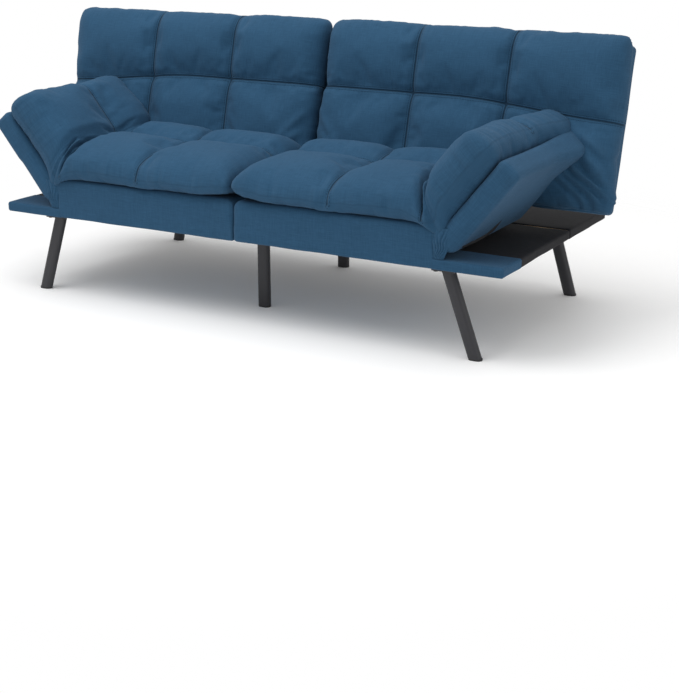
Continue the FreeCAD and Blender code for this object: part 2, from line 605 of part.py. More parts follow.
def leg(name, foot_x, foot_y, top_x, top_y):
    """A leaning oval tube: its section is level, and its ends are level with the floor."""
    body = doc.addObject("PartDesign::Body", name + "_tube")
    rise = "leg_height - plate_thick - foot_thick"
    lean = Vector(top_x - foot_x, top_y - foot_y, number("leg_height"))
    for wall, add in (("0", pad), ("leg_wall", pocket)):
        shape = sketch_on(body, "XY_Plane", "%s_%s" % (name, "outside" if add is pad else "inside"))
        outline(shape, ("-leg_width / 2 + " + wall, "leg_width / 2 - " + wall),
                ("-leg_depth / 2 + " + wall, "leg_depth / 2 - " + wall), "leg_round - " + wall)
        feature = add(body, shape, rise, reverse=add is pocket)
        feature.UseCustomVector = True
        feature.Direction = lean if add is pad else lean * -1
        feature.AlongSketchNormal = True
    place(body, *foot_point(foot_x, foot_y, top_x, top_y, "foot_thick"))
    finish(body, name, mirrored=False)


def foot_point(foot_x, foot_y, top_x, top_y, height):
    """The middle of a leg at a height."""
    share = "(%s) / leg_height" % height
    return ("%g + (%g) * %s" % (foot_x, top_x - foot_x, share),
            "seat_front + %g + (%g) * %s" % (foot_y, top_y - foot_y, share), height)


def legs():
    caps, plates, screws = [], [], []
    for name, foot_x, foot_y, top_x, top_y, plate_x in LEGS:
        spots = (foot_x, foot_y, top_x, top_y)
        leg(name, *spots)
        cap = doc.addObject("PartDesign::Body", name + "_cap")
        shape = sketch_on(cap, "XY_Plane", name + "_cap_outline")
        outline(shape, ("-leg_width / 2", "leg_width / 2"), ("-leg_depth / 2", "leg_depth / 2"), "leg_round")
        pad(cap, shape, "foot_thick")
        caps.append(place(cap, *foot_point(*spots, "0")))
        x = "%g" % plate_x
        y = "seat_front + %g" % top_y
        low = "leg_height - plate_thick"
        blank = box("plate", (x + " - plate_size / 2", x + " + plate_size / 2"),
                    (y + " - plate_size / 2", y + " + plate_size / 2"), (low, "leg_height"))
        corners = [(a, b) for a in ("-", "+") for b in ("-", "+")]
        holes = []
        for a, b in corners:
            spot = ("%s %s screw_inset" % (x, a), "%s %s screw_inset" % (y, b))
            holes.append(rod("plate_hole", "screw_radius + hole_play", (0, 0, 1), (*spot, low + " - 1"),
                             "plate_thick + 2"))
            head = rod("screw_head", "2 * screw_radius", (0, 0, 1), (*spot, low + " - head_thick"),
                       "head_thick")
            shank = rod("screw_shank", "screw_radius", (0, 0, 1), (*spot, low), "plate_thick + screw_grip")
            screws.append(fuse("screw", [head, shank]))
        plates.append(cut("leg_plate", blank, holes))
    finish(group("caps", caps), "foot_caps", mirrored=False)
    finish(group("plates", plates), "leg_plates", mirrored=False)
    finish(group("screws", screws), "leg_screws", mirrored=False)


def join_bolts():
    """Three bolts through both platform boards hold the two units together."""
    bolts, nuts = [], []
    nut_x = "-half_gap - recess_start - join_nut_thick"
    for place_y in JOIN_BOLTS_Y:
        y = "seat_front + %d" % place_y
        z = "leg_height + platform_thick / 2"
        shank = rod("bolt_shank", "join_radius", (1, 0, 0), (nut_x + " - join_end", y, z),
                    "2 * half_gap + 2 * recess_start + join_nut_thick + join_end")
        head = rod("bolt_head", "join_head", (1, 0, 0), ("half_gap + recess_start", y, z),
                   "join_head_thick")
        bolts.append(fuse("bolt", [shank, head]))
        blank = rod("nut_blank", "join_nut", (1, 0, 0), (nut_x, y, z), "join_nut_thick")
        hole = rod("nut_hole", "join_radius", (1, 0, 0), (nut_x + " - 1", y, z), "join_nut_thick + 2")
        nuts.append(cut("nut", blank, [hole]))
    finish(group("bolts", bolts), "join_bolts", mirrored=False)
    finish(group("nuts", nuts), "join_nuts", mirrored=False)


def export():
    """Check every object and every piece, and write each piece to its own file."""
    doc.recompute()
    for obj in doc.Objects:
        if "Invalid" in obj.State or "Error" in obj.State:
            raise RuntimeError("%s failed: %s" % (obj.Label, obj.State))
    whole = FreeCAD.BoundBox()
    for obj in nodes:
        if obj.Shape.isNull() or not obj.Shape.isValid():
            raise RuntimeError("%s has no valid shape" % obj.Label)
        whole.add(obj.Shape.BoundBox)
    os.makedirs("parts", exist_ok=True)
    for obj in nodes:
        obj.Shape.exportStep("parts/%s.step" % obj.Label)
    print("%d pieces, box %.1f %.1f %.1f to %.1f %.1f %.1f" % (
        len(nodes), whole.XMin, whole.YMin, whole.ZMin, whole.XMax, whole.YMax, whole.ZMax))


platform()
seat()
arm()
back()
arm_hinges()
back_hinges()
legs()
join_bolts()
export()
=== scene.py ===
"""Looks of a split-back futon sofa bed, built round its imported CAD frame: quilted cushions, tight fabric
covers, linings, materials, and a plain studio.  Metres and radians, in the frame's own axes."""
import json
import math

import bpy
import numpy as np
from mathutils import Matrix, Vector, noise


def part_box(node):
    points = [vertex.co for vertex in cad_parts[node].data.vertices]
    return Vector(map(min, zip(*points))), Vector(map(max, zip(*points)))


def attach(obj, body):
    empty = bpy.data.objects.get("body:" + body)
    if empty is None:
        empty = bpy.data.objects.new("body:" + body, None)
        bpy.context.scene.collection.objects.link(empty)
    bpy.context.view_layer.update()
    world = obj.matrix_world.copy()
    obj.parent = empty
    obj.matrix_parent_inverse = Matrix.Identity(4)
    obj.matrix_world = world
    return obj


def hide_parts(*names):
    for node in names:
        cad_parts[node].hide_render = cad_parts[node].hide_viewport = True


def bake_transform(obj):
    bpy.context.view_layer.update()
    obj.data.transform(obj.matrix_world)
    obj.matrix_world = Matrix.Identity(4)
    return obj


bl_info = {
    "name": "Futon Sofa Bed Upholstery",
    "version": (1, 0, 0),
    "blender": (4, 5, 0),
    "location": "3D View > Sidebar > Sofa Bed",
    "description": "Makes the cushions, covers, linings and studio of a split-back futon sofa bed",
    "category": "Object",
}

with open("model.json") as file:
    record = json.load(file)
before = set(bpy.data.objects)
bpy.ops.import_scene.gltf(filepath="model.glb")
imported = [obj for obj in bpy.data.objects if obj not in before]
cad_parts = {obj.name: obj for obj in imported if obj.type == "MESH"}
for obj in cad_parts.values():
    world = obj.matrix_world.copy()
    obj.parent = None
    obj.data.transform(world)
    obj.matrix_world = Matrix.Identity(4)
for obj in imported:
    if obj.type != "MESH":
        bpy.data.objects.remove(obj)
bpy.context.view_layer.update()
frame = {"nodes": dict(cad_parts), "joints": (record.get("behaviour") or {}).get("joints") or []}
JOINTS = {joint["name"]: joint for joint in frame["joints"]}
SIDES = {"right": 1, "left": -1}

SEAT_LOW, SEAT_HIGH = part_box("seat_cover_right")
PLATFORM_LOW, PLATFORM_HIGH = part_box("platform_cover_right")
FRONT = SEAT_LOW.y
SEAT_TOP = SEAT_HIGH.z
MM = 0.001
NOISE_SEED = 1

# Quilting seams: their distance from the split between the units, and from the front or the fold.
FIRST_COLUMN, SECOND_COLUMN = 0.308, 0.594
SEAT_ROW, BACK_ROW = 0.262, 0.267
# How a seam looks: the share of the height it takes, its reach, and how strongly it puckers.
SEAT_SEAM, HINGE_SEAM, BACK_SEAM = (0.2, 0.07, 0.8), (0.55, 0.038, 2.2), (0.2, 0.055, 0.7)


class Hinge:
    """A fold's axis, and the way from the stored pose to the flat one, for one side of the sofa."""

    def __init__(self, name):
        joint = JOINTS[name]
        self.body = joint["child"]
        self.pivot = np.array(joint["pos_m"])
        self.axis = np.array(joint["axis"], float)
        self.angle = math.radians(joint["range_deg"][1])

    def turned(self, points, angles):
        """Points turned about the axis, each by its own angle; a positive angle lays the part flat."""
        arm = points - self.pivot
        along = np.outer(arm @ self.axis, self.axis)
        cos = np.cos(angles)[:, None]
        sin = np.sin(angles)[:, None]
        return self.pivot + along + (arm - along) * cos + np.cross(self.axis, arm) * sin

    def raised(self, points):
        return self.turned(points, np.full(len(points), -self.angle))

    def flat_box(self, node):
        """Lowest and highest corner of a CAD node as it lies when the part is flat."""
        mesh = frame["nodes"][node].data
        points = np.array([vertex.co for vertex in mesh.vertices])
        flat = self.turned(points, np.full(len(points), self.angle))
        return flat.min(axis=0), flat.max(axis=0)


ARM = {side: Hinge("arm_fold_" + side) for side in SIDES}
BACK = {side: Hinge("back_fold_" + side) for side in SIDES}
ARM_LOW, ARM_HIGH = ARM["right"].flat_box("arm_cover_right")
BACK_LOW, BACK_HIGH = BACK["right"].flat_box("back_cover_right")


# ---- mesh helpers ----

def smooth(share):
    share = np.clip(share, 0, 1)
    return share * share * (3 - 2 * share)


def make_piece(name, points, faces, material, sign, weave=None, seams=None):
    """A smooth-shaded mesh object; points and faces are for the right side, and sign -1 mirrors them.

    weave gives each vertex its place on the flat cloth, in metres; seams gives its distance from the nearest
    seam, its place along that seam, and its distance from the edge seam.
    """
    mesh = bpy.data.meshes.new(name)
    placed = [tuple(point) for point in np.asarray(points) * (sign, 1, 1)]
    mesh.from_pydata(placed, [], [tuple(face)[::sign] for face in faces])
    mesh.update()
    mesh.shade_smooth()
    piece = bpy.data.objects.new(name, mesh)
    bpy.context.scene.collection.objects.link(piece)
    mesh.materials.append(material)
    if weave is not None:
        corners = np.array([loop.vertex_index for loop in mesh.loops])
        for attribute, values in (("cloth_plan", weave), ("seam_plan", seams)):
            layer = mesh.attributes.new(attribute, "FLOAT_VECTOR", "CORNER")
            layer.data.foreach_set("vector", np.asarray(values, np.float32)[corners].ravel())
    return piece


def lay_cloth(piece):
    """Each face takes its place on the cloth from the two axes that it faces least."""
    mesh = piece.data
    layer = mesh.attributes.get("cloth_plan") or mesh.attributes.new("cloth_plan", "FLOAT_VECTOR", "CORNER")
    for face in mesh.polygons:
        away = max(range(3), key=lambda axis: abs(face.normal[axis]))
        first, second = [axis for axis in range(3) if axis != away]
        for corner in face.loop_indices:
            place = mesh.vertices[mesh.loops[corner].vertex_index].co
            layer.data[corner].vector = (place[first], place[second], 0.37 * away)


def refine(piece, levels=1):
    """Subdivide the mesh for good."""
    modifier = piece.modifiers.new("Smooth", "SUBSURF")
    modifier.levels = levels
    modifier.render_levels = levels
    fix_modifiers(piece)


def fix_modifiers(piece):
    """Replace the mesh by what its modifiers make of it, and drop them."""
    graph = bpy.context.evaluated_depsgraph_get()
    made = bpy.data.meshes.new_from_object(piece.evaluated_get(graph))
    piece.modifiers.clear()
    piece.data = made


def coordinates(piece):
    flat = np.empty(len(piece.data.vertices) * 3)
    piece.data.vertices.foreach_get("co", flat)
    return flat.reshape(-1, 3)


def move_to(piece, points):
    piece.data.vertices.foreach_set("co", np.asarray(points).ravel())
    piece.data.update()


def grid_faces(rows, columns):
    """Faces of a sheet whose points are listed row by row."""
    corners = [row * (columns + 1) + column for row in range(rows) for column in range(columns)]
    return [(first, first + columns + 1, first + columns + 2, first + 1) for first in corners]


# ---- colours and materials ----

def linear(hex_colour):
    """An sRGB hex colour as linear red, green, blue and alpha."""
    channels = [int(hex_colour[index:index + 2], 16) / 255 for index in (1, 3, 5)]
    return tuple(c / 12.92 if c <= 0.04045 else ((c + 0.055) / 1.055) ** 2.4 for c in channels) + (1.0,)


def shade(colour, amount):
    return tuple(channel * amount for channel in colour[:3]) + (1.0,)


def feed(tree, node, sockets):
    """Link each named socket of a node to what feeds it, or set its value."""
    for socket, value in sockets.items():
        if isinstance(value, bpy.types.NodeSocket):
            tree.links.new(value, node.inputs[socket])
        else:
            node.inputs[socket].default_value = value


def add(tree, kind, settings=None, sockets=None):
    """One shader node, with its settings and the sockets or values that feed it."""
    made = tree.nodes.new("ShaderNode" + kind)
    for key, value in (settings or {}).items():
        setattr(made, key, value)
    feed(tree, made, sockets or {})
    return made


class Finish:
    """A node material being made, with short ways to add the nodes that the finishes share."""

    def __init__(self, name):
        self.material = bpy.data.materials.new(name)
        self.material.use_nodes = True
        self.tree = self.material.node_tree
        self.tree.nodes.clear()
        self.shader = add(self.tree, "BsdfPrincipled")
        add(self.tree, "OutputMaterial", sockets={"Surface": self.shader.outputs[0]})

    def place(self):
        return add(self.tree, "TexCoord").outputs["Object"]

    def attribute(self, name):
        return add(self.tree, "Attribute", {"attribute_name": name}).outputs["Vector"]

    def noise(self, place, scale, detail, roughness=0.5, distortion=0.0):
        """Noise in repeats a metre; three scales stretch it along the axes."""
        if isinstance(scale, tuple):
            place = add(self.tree, "VectorMath", {"operation": "MULTIPLY"}, {0: place, 1: scale}).outputs[0]
            scale = 1.0
        return add(self.tree, "TexNoise", sockets={"Vector": place, "Scale": scale, "Detail": detail,
                                                   "Roughness": roughness,
                                                   "Distortion": distortion}).outputs[0]

    def math(self, operation, *values):
        return add(self.tree, "Math", {"operation": operation}, dict(enumerate(values))).outputs[0]

    def ranged(self, value, low, high, first=0.0, last=1.0, curve="LINEAR"):
        """Turns a value between low and high into one between first and last."""
        return add(self.tree, "MapRange", {"interpolation_type": curve},
                   {"Value": value, "From Min": low, "From Max": high, "To Min": first,
                    "To Max": last}).outputs[0]

    def tinted(self, share, colour, dark, light):
        """The colour, from dark times to light times itself as share rises."""
        ramp = add(self.tree, "ValToRGB", sockets={"Fac": share})
        ramp.color_ramp.elements[0].color = shade(colour, dark)
        ramp.color_ramp.elements[1].color = shade(colour, light)
        return ramp.outputs["Color"]

    def mix(self, share, first, second):
        return add(self.tree, "Mix", {"data_type": "RGBA"}, {0: share, 6: first, 7: second}).outputs[2]

    def rubbed(self, base, worn, low, high, most):
        """The base colour, worn where edges stand out."""
        edge = add(self.tree, "NewGeometry").outputs["Pointiness"]
        return self.mix(self.ranged(edge, low, high, last=most), base, worn)

    def bump(self, height, strength, distance, under=None):
        sockets = {"Height": height, "Strength": strength, "Distance": distance}
        if under is not None:
            sockets["Normal"] = under
        return add(self.tree, "Bump", sockets=sockets).outputs[0]

    def done(self, sockets):
        """The material, once its surface is fed."""
        feed(self.tree, self.shader, sockets)
        return self.material


def woven_polyester(name, colour, worn, sewn):
    """Linen-look polyester: plain weave of slubbed yarn, matt with a soft bloom at grazing angles.

    The eye gets short streaks along warp and weft where a yarn is thick, a little blotchiness from the
    yarn-dyed mix, and paler threads where the cloth is rubbed.  The yarn is 0.9 mm apart, and is drawn at
    2 mm so that it shows.  A sewn cloth also has its seams: a groove 8 mm wide, darkened by painted shade,
    with a row of stitches 5 mm long on each side of it; the edge seam gets a little painted shade too.
    """
    yarns, slubs, clouds = 500, 32, 7
    half_groove, half_border, stitch_row, half_thread, stitch = 0.004, 0.0015, 0.0065, 0.0009, 0.005
    finish = Finish(name)
    plan = finish.attribute("cloth_plan")
    yarn = finish.math("ADD", finish.noise(plan, (yarns, slubs, 1), 3.0, 0.6),
                       finish.noise(plan, (slubs, yarns, 1), 3.0, 0.6))
    cloud = finish.noise(plan, (clouds, clouds, clouds), 4.0)
    mixed = finish.math("ADD", yarn, finish.math("MULTIPLY", cloud, 0.35))
    base = finish.tinted(finish.ranged(mixed, 0.8, 1.55), colour, 0.82, 1.18)
    top = finish.rubbed(base, worn, 0.51, 0.6, 0.25)
    weave = finish.bump(yarn, 0.3, 0.001)
    if sewn:
        parts = add(finish.tree, "SeparateXYZ", sockets={0: finish.attribute("seam_plan")})
        away, along, edge = parts.outputs
        # Painted shade: the colour darkens towards each quilting seam's middle, and a little at the edge
        # seam; the same mask shapes the groove's bump.
        groove_and_painted_shade = finish.math("MULTIPLY", finish.ranged(away, 0, half_groove, curve="SMOOTHSTEP"),
                             finish.ranged(edge, 0, half_border, first=0.85, curve="SMOOTHSTEP"))
        row = finish.math("COMPARE", away, stitch_row, half_thread)
        turns = finish.math("FRACT", finish.math("MULTIPLY", along, 1 / stitch))
        thread = finish.math("MULTIPLY", row, finish.math("LESS_THAN", turns, 0.62))
        # The groove's painted shade goes into the colour first, then the darker stitch thread over it.
        top = finish.mix(thread, finish.mix(groove_and_painted_shade, shade(colour, 0.4), top), shade(colour, 0.5))
        weave = finish.bump(groove_and_painted_shade, 0.9, 0.003, weave)
        weave = finish.bump(thread, 0.7, 0.0007, weave)
    return finish.done({"Base Color": top, "Normal": weave,
                        "Roughness": finish.ranged(yarn, 0.6, 1.4, 0.95, 0.8),
                        "Specular IOR Level": 0.12, "Sheen Weight": 0.1, "Sheen Roughness": 0.5,
                        "Sheen Tint": (0.5, 0.66, 0.85, 1)})


def spunbond_polypropylene(name, colour):
    """Black non-woven lining, embossed with a fine point pattern: dull, slightly mottled.

    The points are 1.4 mm apart, and are drawn at 4 mm so that they show.
    """
    finish = Finish(name)
    place = finish.place()
    points = add(finish.tree, "TexVoronoi", sockets={"Vector": place, "Scale": 250.0}).outputs["Distance"]
    return finish.done({"Base Color": finish.tinted(finish.noise(place, 60.0, 6.0), colour, 0.6, 1.6),
                        "Normal": finish.bump(points, 0.4, 0.0008),
                        "Roughness": 0.85, "Specular IOR Level": 0.35})


def powder_coated_steel(name, colour):
    """Polyester powder coat on steel tube, oven cured: satin, with a fine orange peel and barer edges."""
    finish = Finish(name)
    place = finish.place()
    peel, cloud = finish.noise(place, 420.0, 2.0), finish.noise(place, 18.0, 4.0)
    base = finish.tinted(cloud, colour, 0.88, 1.14)
    return finish.done({"Base Color": finish.rubbed(base, shade(colour, 2.2), 0.53, 0.62, 0.3),
                        "Normal": finish.bump(peel, 0.25, 0.0004),
                        "Roughness": finish.ranged(cloud, 0, 1, 0.4, 0.52)})


def plated_steel(name, colour, roughness, streak):
    """Pressed steel with a thin finish over its rolling marks: zinc plate, or black e-coat."""
    finish = Finish(name)
    lines = finish.noise(finish.place(), (streak, 40, 40), 4.0)
    return finish.done({"Base Color": finish.tinted(lines, colour, 0.8, 1.15),
                        "Normal": finish.bump(lines, 0.2, 0.0003),
                        "Metallic": 1.0, "Roughness": roughness})


def moulded_nylon(name, colour):
    """Injection moulded nylon with a spark-eroded grain of about 1 mm: black, low gloss."""
    finish = Finish(name)
    grain = finish.noise(finish.place(), 900.0, 2.0)
    return finish.done({"Base Color": finish.tinted(grain, colour, 0.9, 1.2),
                        "Normal": finish.bump(grain, 0.3, 0.0003), "Roughness": 0.55, "IOR": 1.53})


def sawn_timber(name, colour, grain_mm, direction):
    """Softwood or plywood as sawn: growth lines along the board, dry and rough."""
    finish = Finish(name)
    across = 1000 / grain_mm
    stretch = tuple(across / 25 if axis == direction else across for axis in range(3))
    lines = finish.noise(finish.place(), stretch, 5.0, distortion=0.6)
    return finish.done({"Base Color": finish.tinted(lines, colour, 0.62, 1.18),
                        "Normal": finish.bump(lines, 0.3, 0.0006), "Roughness": 0.7})


def elastic_webbing(name, colour):
    """Rubber and polypropylene webbing, with fine ribs across the strap."""
    finish = Finish(name)
    ribs = add(finish.tree, "TexWave", {"bands_direction": "X"},
               {"Vector": finish.place(), "Scale": 330 / math.tau, "Distortion": 0.4}).outputs["Fac"]
    return finish.done({"Base Color": finish.tinted(ribs, colour, 0.6, 1.5),
                        "Normal": finish.bump(ribs, 0.5, 0.0008), "Roughness": 0.75})


def matt_paper(name, colour, near, far):
    """Seamless background paper, matt, with its faint fibre; it fades into the white room beyond the sofa.

    It glows faintly in warm white: painted light that keeps its shadows pale and free of the sofa's blue.
    """
    finish = Finish(name)
    place = finish.place()
    away = add(finish.tree, "VectorMath", {"operation": "LENGTH"}, {0: place}).outputs["Value"]
    # Painted light: a faint warm glow in the paper lightens the shadows that the sofa casts on it.
    return finish.done({"Base Color": finish.tinted(finish.noise(place, 40.0, 5.0), colour, 0.985, 1),
                        "Alpha": finish.ranged(away, near, far, 1.0, 0.0, "SMOOTHSTEP"),
                        "Emission Color": (1, 0.95, 0.88, 1), "Emission Strength": 0.05,
                        "Roughness": 0.9, "Specular IOR Level": 0.1})


# ---- quilted cushions ----

class Quilt:
    """A cushion sewn from two sheets round its edge and quilted by twin rows of stitches.

    It is planned flat: u runs across the sofa, v from front to back, and heights are above the box that it
    rests on.  Sheet points are held on a grid whose lines follow every row of stitches.  columns and rows
    give each seam's place, with the share of the height that it takes away, how far it reaches, and how
    strongly it puckers.  edge and end_roll give, along u, the edge seam's height and how wide the roll is at
    the front and rear ends.
    """

    def __init__(self, across, along, columns, rows, edge, end_roll, size):
        self.across = across
        self.along = along
        self.columns = columns
        self.rows = rows
        self.edge = edge
        self.end_roll = end_roll
        self.size = size
        self.us = self.lines(across, columns)
        self.vs = self.lines(along, rows)
        self.folds = []

    def lines(self, ends, seams):
        """Grid lines from end to end, three to each seam: a stitch row, the middle and a stitch row."""
        gap = self.size.stitch_gap / 2
        stops = [ends[0]] + [seam + step for seam in seams for step in (-gap, 0, gap)] + [ends[1]]
        places = [stops[0]]
        for low, high in zip(stops, stops[1:]):
            count = max(1, round((high - low) / self.size.cloth_step))
            places += [low + (high - low) * index / count for index in range(1, count + 1)]
        return np.array(places)

    def edges(self, u, v):
        """Distance from the nearer side, and from the nearer end."""
        return (np.minimum(u - self.across[0], self.across[1] - u),
                np.minimum(v - self.along[0], self.along[1] - v))

    def roll(self, distance, width):
        """How far the sheet has risen at a distance from the edge seam, from 0 to 1: a quarter ellipse."""
        share = 1 - np.clip(distance / width, 0, 1)
        return np.sqrt(1 - share ** 2)

    def valley(self, distance, seam):
        """How far a row of stitches lets the top sheet rise at a distance from it, from the dip to 1."""
        dip, reach, pucker = seam
        beyond = np.maximum(np.abs(distance) - self.size.stitch_gap / 2, 0)
        share = 1 - np.clip(beyond / reach, 0, 1)
        return 1 - dip * (1 - np.sqrt(1 - share ** 2))

    def top(self, u, v, crown):
        """Height of the top sheet."""
        edge_u, edge_v = self.edges(u, v)
        ends = self.end_roll(u)
        rise = self.roll(edge_u, np.minimum(self.size.edge_roll, ends)) * self.roll(edge_v, ends)
        for place, seam in self.columns.items():
            rise = rise * self.valley(u - place, seam)
        for place, seam in self.rows.items():
            rise = rise * self.valley(v - place, seam)
        return self.edge(u) + (crown - self.edge(u)) * rise

    def under(self, u, v):
        """Height of the bottom sheet, which rests on the box inside its edge."""
        edge_u, edge_v = self.edges(u, v)
        reach = self.size.under_roll
        return self.edge(u) * (1 - self.roll(edge_u, reach) * self.roll(edge_v, reach))

    def rounded(self, u, v):
        """Plan points with the corners rounded and the sides drawn in a little between them."""
        radius = self.size.corner_radius
        left = np.clip((self.across[0] + radius - u) / radius, 0, 1)
        right = np.clip((u - self.across[1] + radius) / radius, 0, 1)
        near = np.clip((self.along[0] + radius - v) / radius, 0, 1)
        far = np.clip((v - self.along[1] + radius) / radius, 0, 1)
        side, end = left + right, near + far
        u = u + radius * (left - right) * (1 - np.sqrt(1 - end ** 2 / 2))
        v = v + radius * (near - far) * (1 - np.sqrt(1 - side ** 2 / 2))
        return u, v

    def build(self, name, crown, base, drape, material, sign):
        """The sewn cushion, lying flat; crown and base give heights, and drape moves the hanging parts."""
        u, v = np.meshgrid(self.us, self.vs, indexing="ij")
        plan_u, plan_v = self.rounded(u, v)
        lift = base(u)
        upper = np.stack([plan_u, plan_v, lift + self.top(u, v, crown(u, v))], axis=-1)
        lower = np.stack([plan_u, plan_v, lift + self.under(u, v)], axis=-1)
        upper, lower = drape(upper), drape(lower)
        wide, deep = u.shape
        inner = [(i, j) for i in range(1, wide - 1) for j in range(1, deep - 1)]
        below = {spot: wide * deep + index for index, spot in enumerate(inner)}
        points = np.concatenate([upper.reshape(-1, 3), np.array([lower[spot] for spot in inner])])

        def upper_index(i, j):
            return i * deep + j

        def lower_index(i, j):
            return below.get((i, j), upper_index(i, j))

        faces = []
        for i in range(wide - 1):
            for j in range(deep - 1):
                ring = [(i, j), (i + 1, j), (i + 1, j + 1), (i, j + 1)]
                faces.append(tuple(upper_index(*spot) for spot in ring))
                faces.append(tuple(lower_index(*spot) for spot in reversed(ring)))
        plan = np.stack([u, v, np.zeros_like(u)], axis=-1)
        other_piece_of_cloth = (0.31, 0.17, 0)
        weave = np.concatenate([plan.reshape(-1, 3),
                                np.array([plan[spot] for spot in inner]) + other_piece_of_cloth])
        seams = self.seam_places(u, v)
        under = np.array([seams[spot] for spot in inner])
        under[:, 0] = under[:, 2]
        seams = np.concatenate([seams.reshape(-1, 3), under])
        piece = make_piece(name, points, faces, material, sign, weave, seams)
        self.pins = self.pinned(u, v, inner)
        return piece

    def seam_places(self, u, v):
        """Distance from the nearest quilting seam, place along it, and distance from the edge seam."""
        near, run = np.full(u.shape, 1.0), np.zeros(u.shape)
        for seams, across, along in ((self.columns, u, v), (self.rows, v, u)):
            for seam in seams:
                distance = np.abs(across - seam)
                run = np.where(distance < near, along, run)
                near = np.minimum(near, distance)
        edge = np.minimum(*self.edges(u, v))
        return np.stack([near, run, edge], axis=-1)

    def pinned(self, u, v, inner):
        """Which points the stitches and the box hold while the cushion fills; its edge is left free."""
        free_edge, resting = 0.02, 0.7
        held = np.zeros(u.shape, bool)
        for seams, across in ((self.columns, u), (self.rows, v)):
            for seam in seams:
                held |= np.abs(across - seam) < self.size.stitch_gap / 2 + MM
        edge = np.minimum(*self.edges(u, v))
        held &= edge > free_edge
        rests = edge > self.size.under_roll * resting
        return np.concatenate([held.ravel(), np.array([rests[spot] for spot in inner])])


def fill_cushion(piece, pins, size):
    """Blow the cushion up from inside with its stitches held, so that the slack cloth puckers beside them."""
    start = coordinates(piece)
    group = piece.vertex_groups.new(name="stitches")
    group.add([int(index) for index in np.flatnonzero(pins)], 1.0, "REPLACE")
    cloth = piece.modifiers.new("Fill", "CLOTH")
    settings = cloth.settings
    settings.quality = 5
    settings.mass = 0.25
    settings.tension_stiffness = 25
    settings.compression_stiffness = 25
    settings.shear_stiffness = 8
    settings.bending_stiffness = size.cloth_bend
    settings.use_pressure = True
    settings.uniform_pressure_force = size.fill_pressure
    settings.vertex_group_mass = "stitches"
    settings.shrink_min = -size.cloth_slack
    settings.effector_weights.gravity = 0
    cloth.collision_settings.use_collision = False
    cloth.point_cache.frame_start = 1
    cloth.point_cache.frame_end = size.fill_frames
    for step in range(1, size.fill_frames + 1):
        bpy.context.scene.frame_set(step)
    fix_modifiers(piece)
    piece.vertex_groups.clear()
    bpy.context.scene.frame_set(1)
    shift = coordinates(piece) - start
    length = np.linalg.norm(shift, axis=1)
    limit = np.minimum(1, size.fill_cap / np.maximum(length, 1e-9))
    move_to(piece, start + shift * limit[:, None])


def sewn_cushion(name, quilt, crown, base, drape, side, seed, strength_at):
    """A cushion as it lies flat: sewn, filled, smoothed and gathered."""
    sign = SIDES[side]
    piece = quilt.build(name, crown, base, drape, finishes()["cushion"], sign)
    fill_cushion(piece, quilt.pins, quilt.size)
    refine(piece)
    gather(piece, quilt, quilt.size, sign, seed * sign, strength_at)
    return piece


def gather(piece, quilt, size, sign, seed, strength_at):
    """Pucker the cloth beside its seams, and lay in the longer folds.

    strength_at gives how strongly the edge puckers at u and v.  Each fold is a line on the plan with a width
    and a height; it fades at both ends.
    """
    points = coordinates(piece)
    normals = np.array([vertex.normal for vertex in piece.data.vertices])
    u, v = points[:, 0] * sign, points[:, 1]
    rise = np.zeros(len(points))

    def puffs(along, away, pitch, lane):
        """Puffs between sharp creases that wander as they leave a seam."""
        places = zip(along / pitch, away / (2.6 * pitch))
        return np.array([2.2 * abs(noise.noise(Vector((place, gap + lane, seed)))) - 0.45
                         for place, gap in places])

    sides = ((u - quilt.across[0], v), (quilt.across[1] - u, v),
             (v - quilt.along[0], u), (quilt.along[1] - v, u))
    height = size.edge_pucker * strength_at(u, v)
    for lane, (distance, along) in enumerate(sides):
        rise += height * puffs(along, distance, 0.022, lane * 5.3) * np.exp(-np.abs(distance) / 0.03)
        rise += height * puffs(along, distance, 0.055, lane * 3.1) * np.exp(-np.abs(distance) / 0.08)
    for seams, across, along in ((quilt.columns, u, v), (quilt.rows, v, u)):
        for lane, seam in enumerate(seams):
            strength = seams[seam][2]
            distance = np.abs(across - seam)
            close = np.exp(-distance / (0.022 * strength)) * smooth(distance / 0.012)
            rise += size.seam_pucker * strength * puffs(along, distance, 0.026, 40 + lane * 4.7) * close
    for start_u, start_v, end_u, end_v, width, height in quilt.folds:
        way = np.array((end_u - start_u, end_v - start_v))
        share = ((u - start_u) * way[0] + (v - start_v) * way[1]) / (way @ way)
        held = np.clip(share, 0, 1)
        distance = np.hypot(u - start_u - held * way[0], v - start_v - held * way[1])
        height = height * smooth((quilt.across[1] - 0.01 - u) / 0.03)
        rise += height * np.exp(-(distance / width) ** 2) * smooth(share / 0.3) * smooth((1 - share) / 0.2)
    rise = np.where(normals[:, 2] < -0.2, 0, rise)
    move_to(piece, points + normals * rise[:, None])


def fold_up(piece, hinge, start, end):
    """The share of the turn that a point makes depends on where it ends up, so it is found by halving.
    """
    flat = coordinates(piece)
    start, end = np.array(start), np.array(end)
    span = end - start
    low, high = np.zeros(len(flat)), np.ones(len(flat))
    for step in range(30):
        middle = (low + high) / 2
        raised = hinge.turned(flat, -hinge.angle * middle)
        share = smooth((raised - start) @ span / (span @ span))
        low = np.where(share > middle, middle, low)
        high = np.where(share > middle, high, middle)
    move_to(piece, hinge.turned(flat, -hinge.angle * (low + high) / 2))


def fold_span(hinge, outward, reach, lead):
    """Start and end of the stretch over which a cushion turns, across the middle plane of the fold."""
    half = hinge.angle / 2
    direction = np.array(outward, float) * math.cos(half) + np.array((0, 0, 1.0)) * math.sin(half)
    return hinge.pivot + direction * (lead - reach), hinge.pivot + direction * (lead + reach)


# ---- tight covers ----

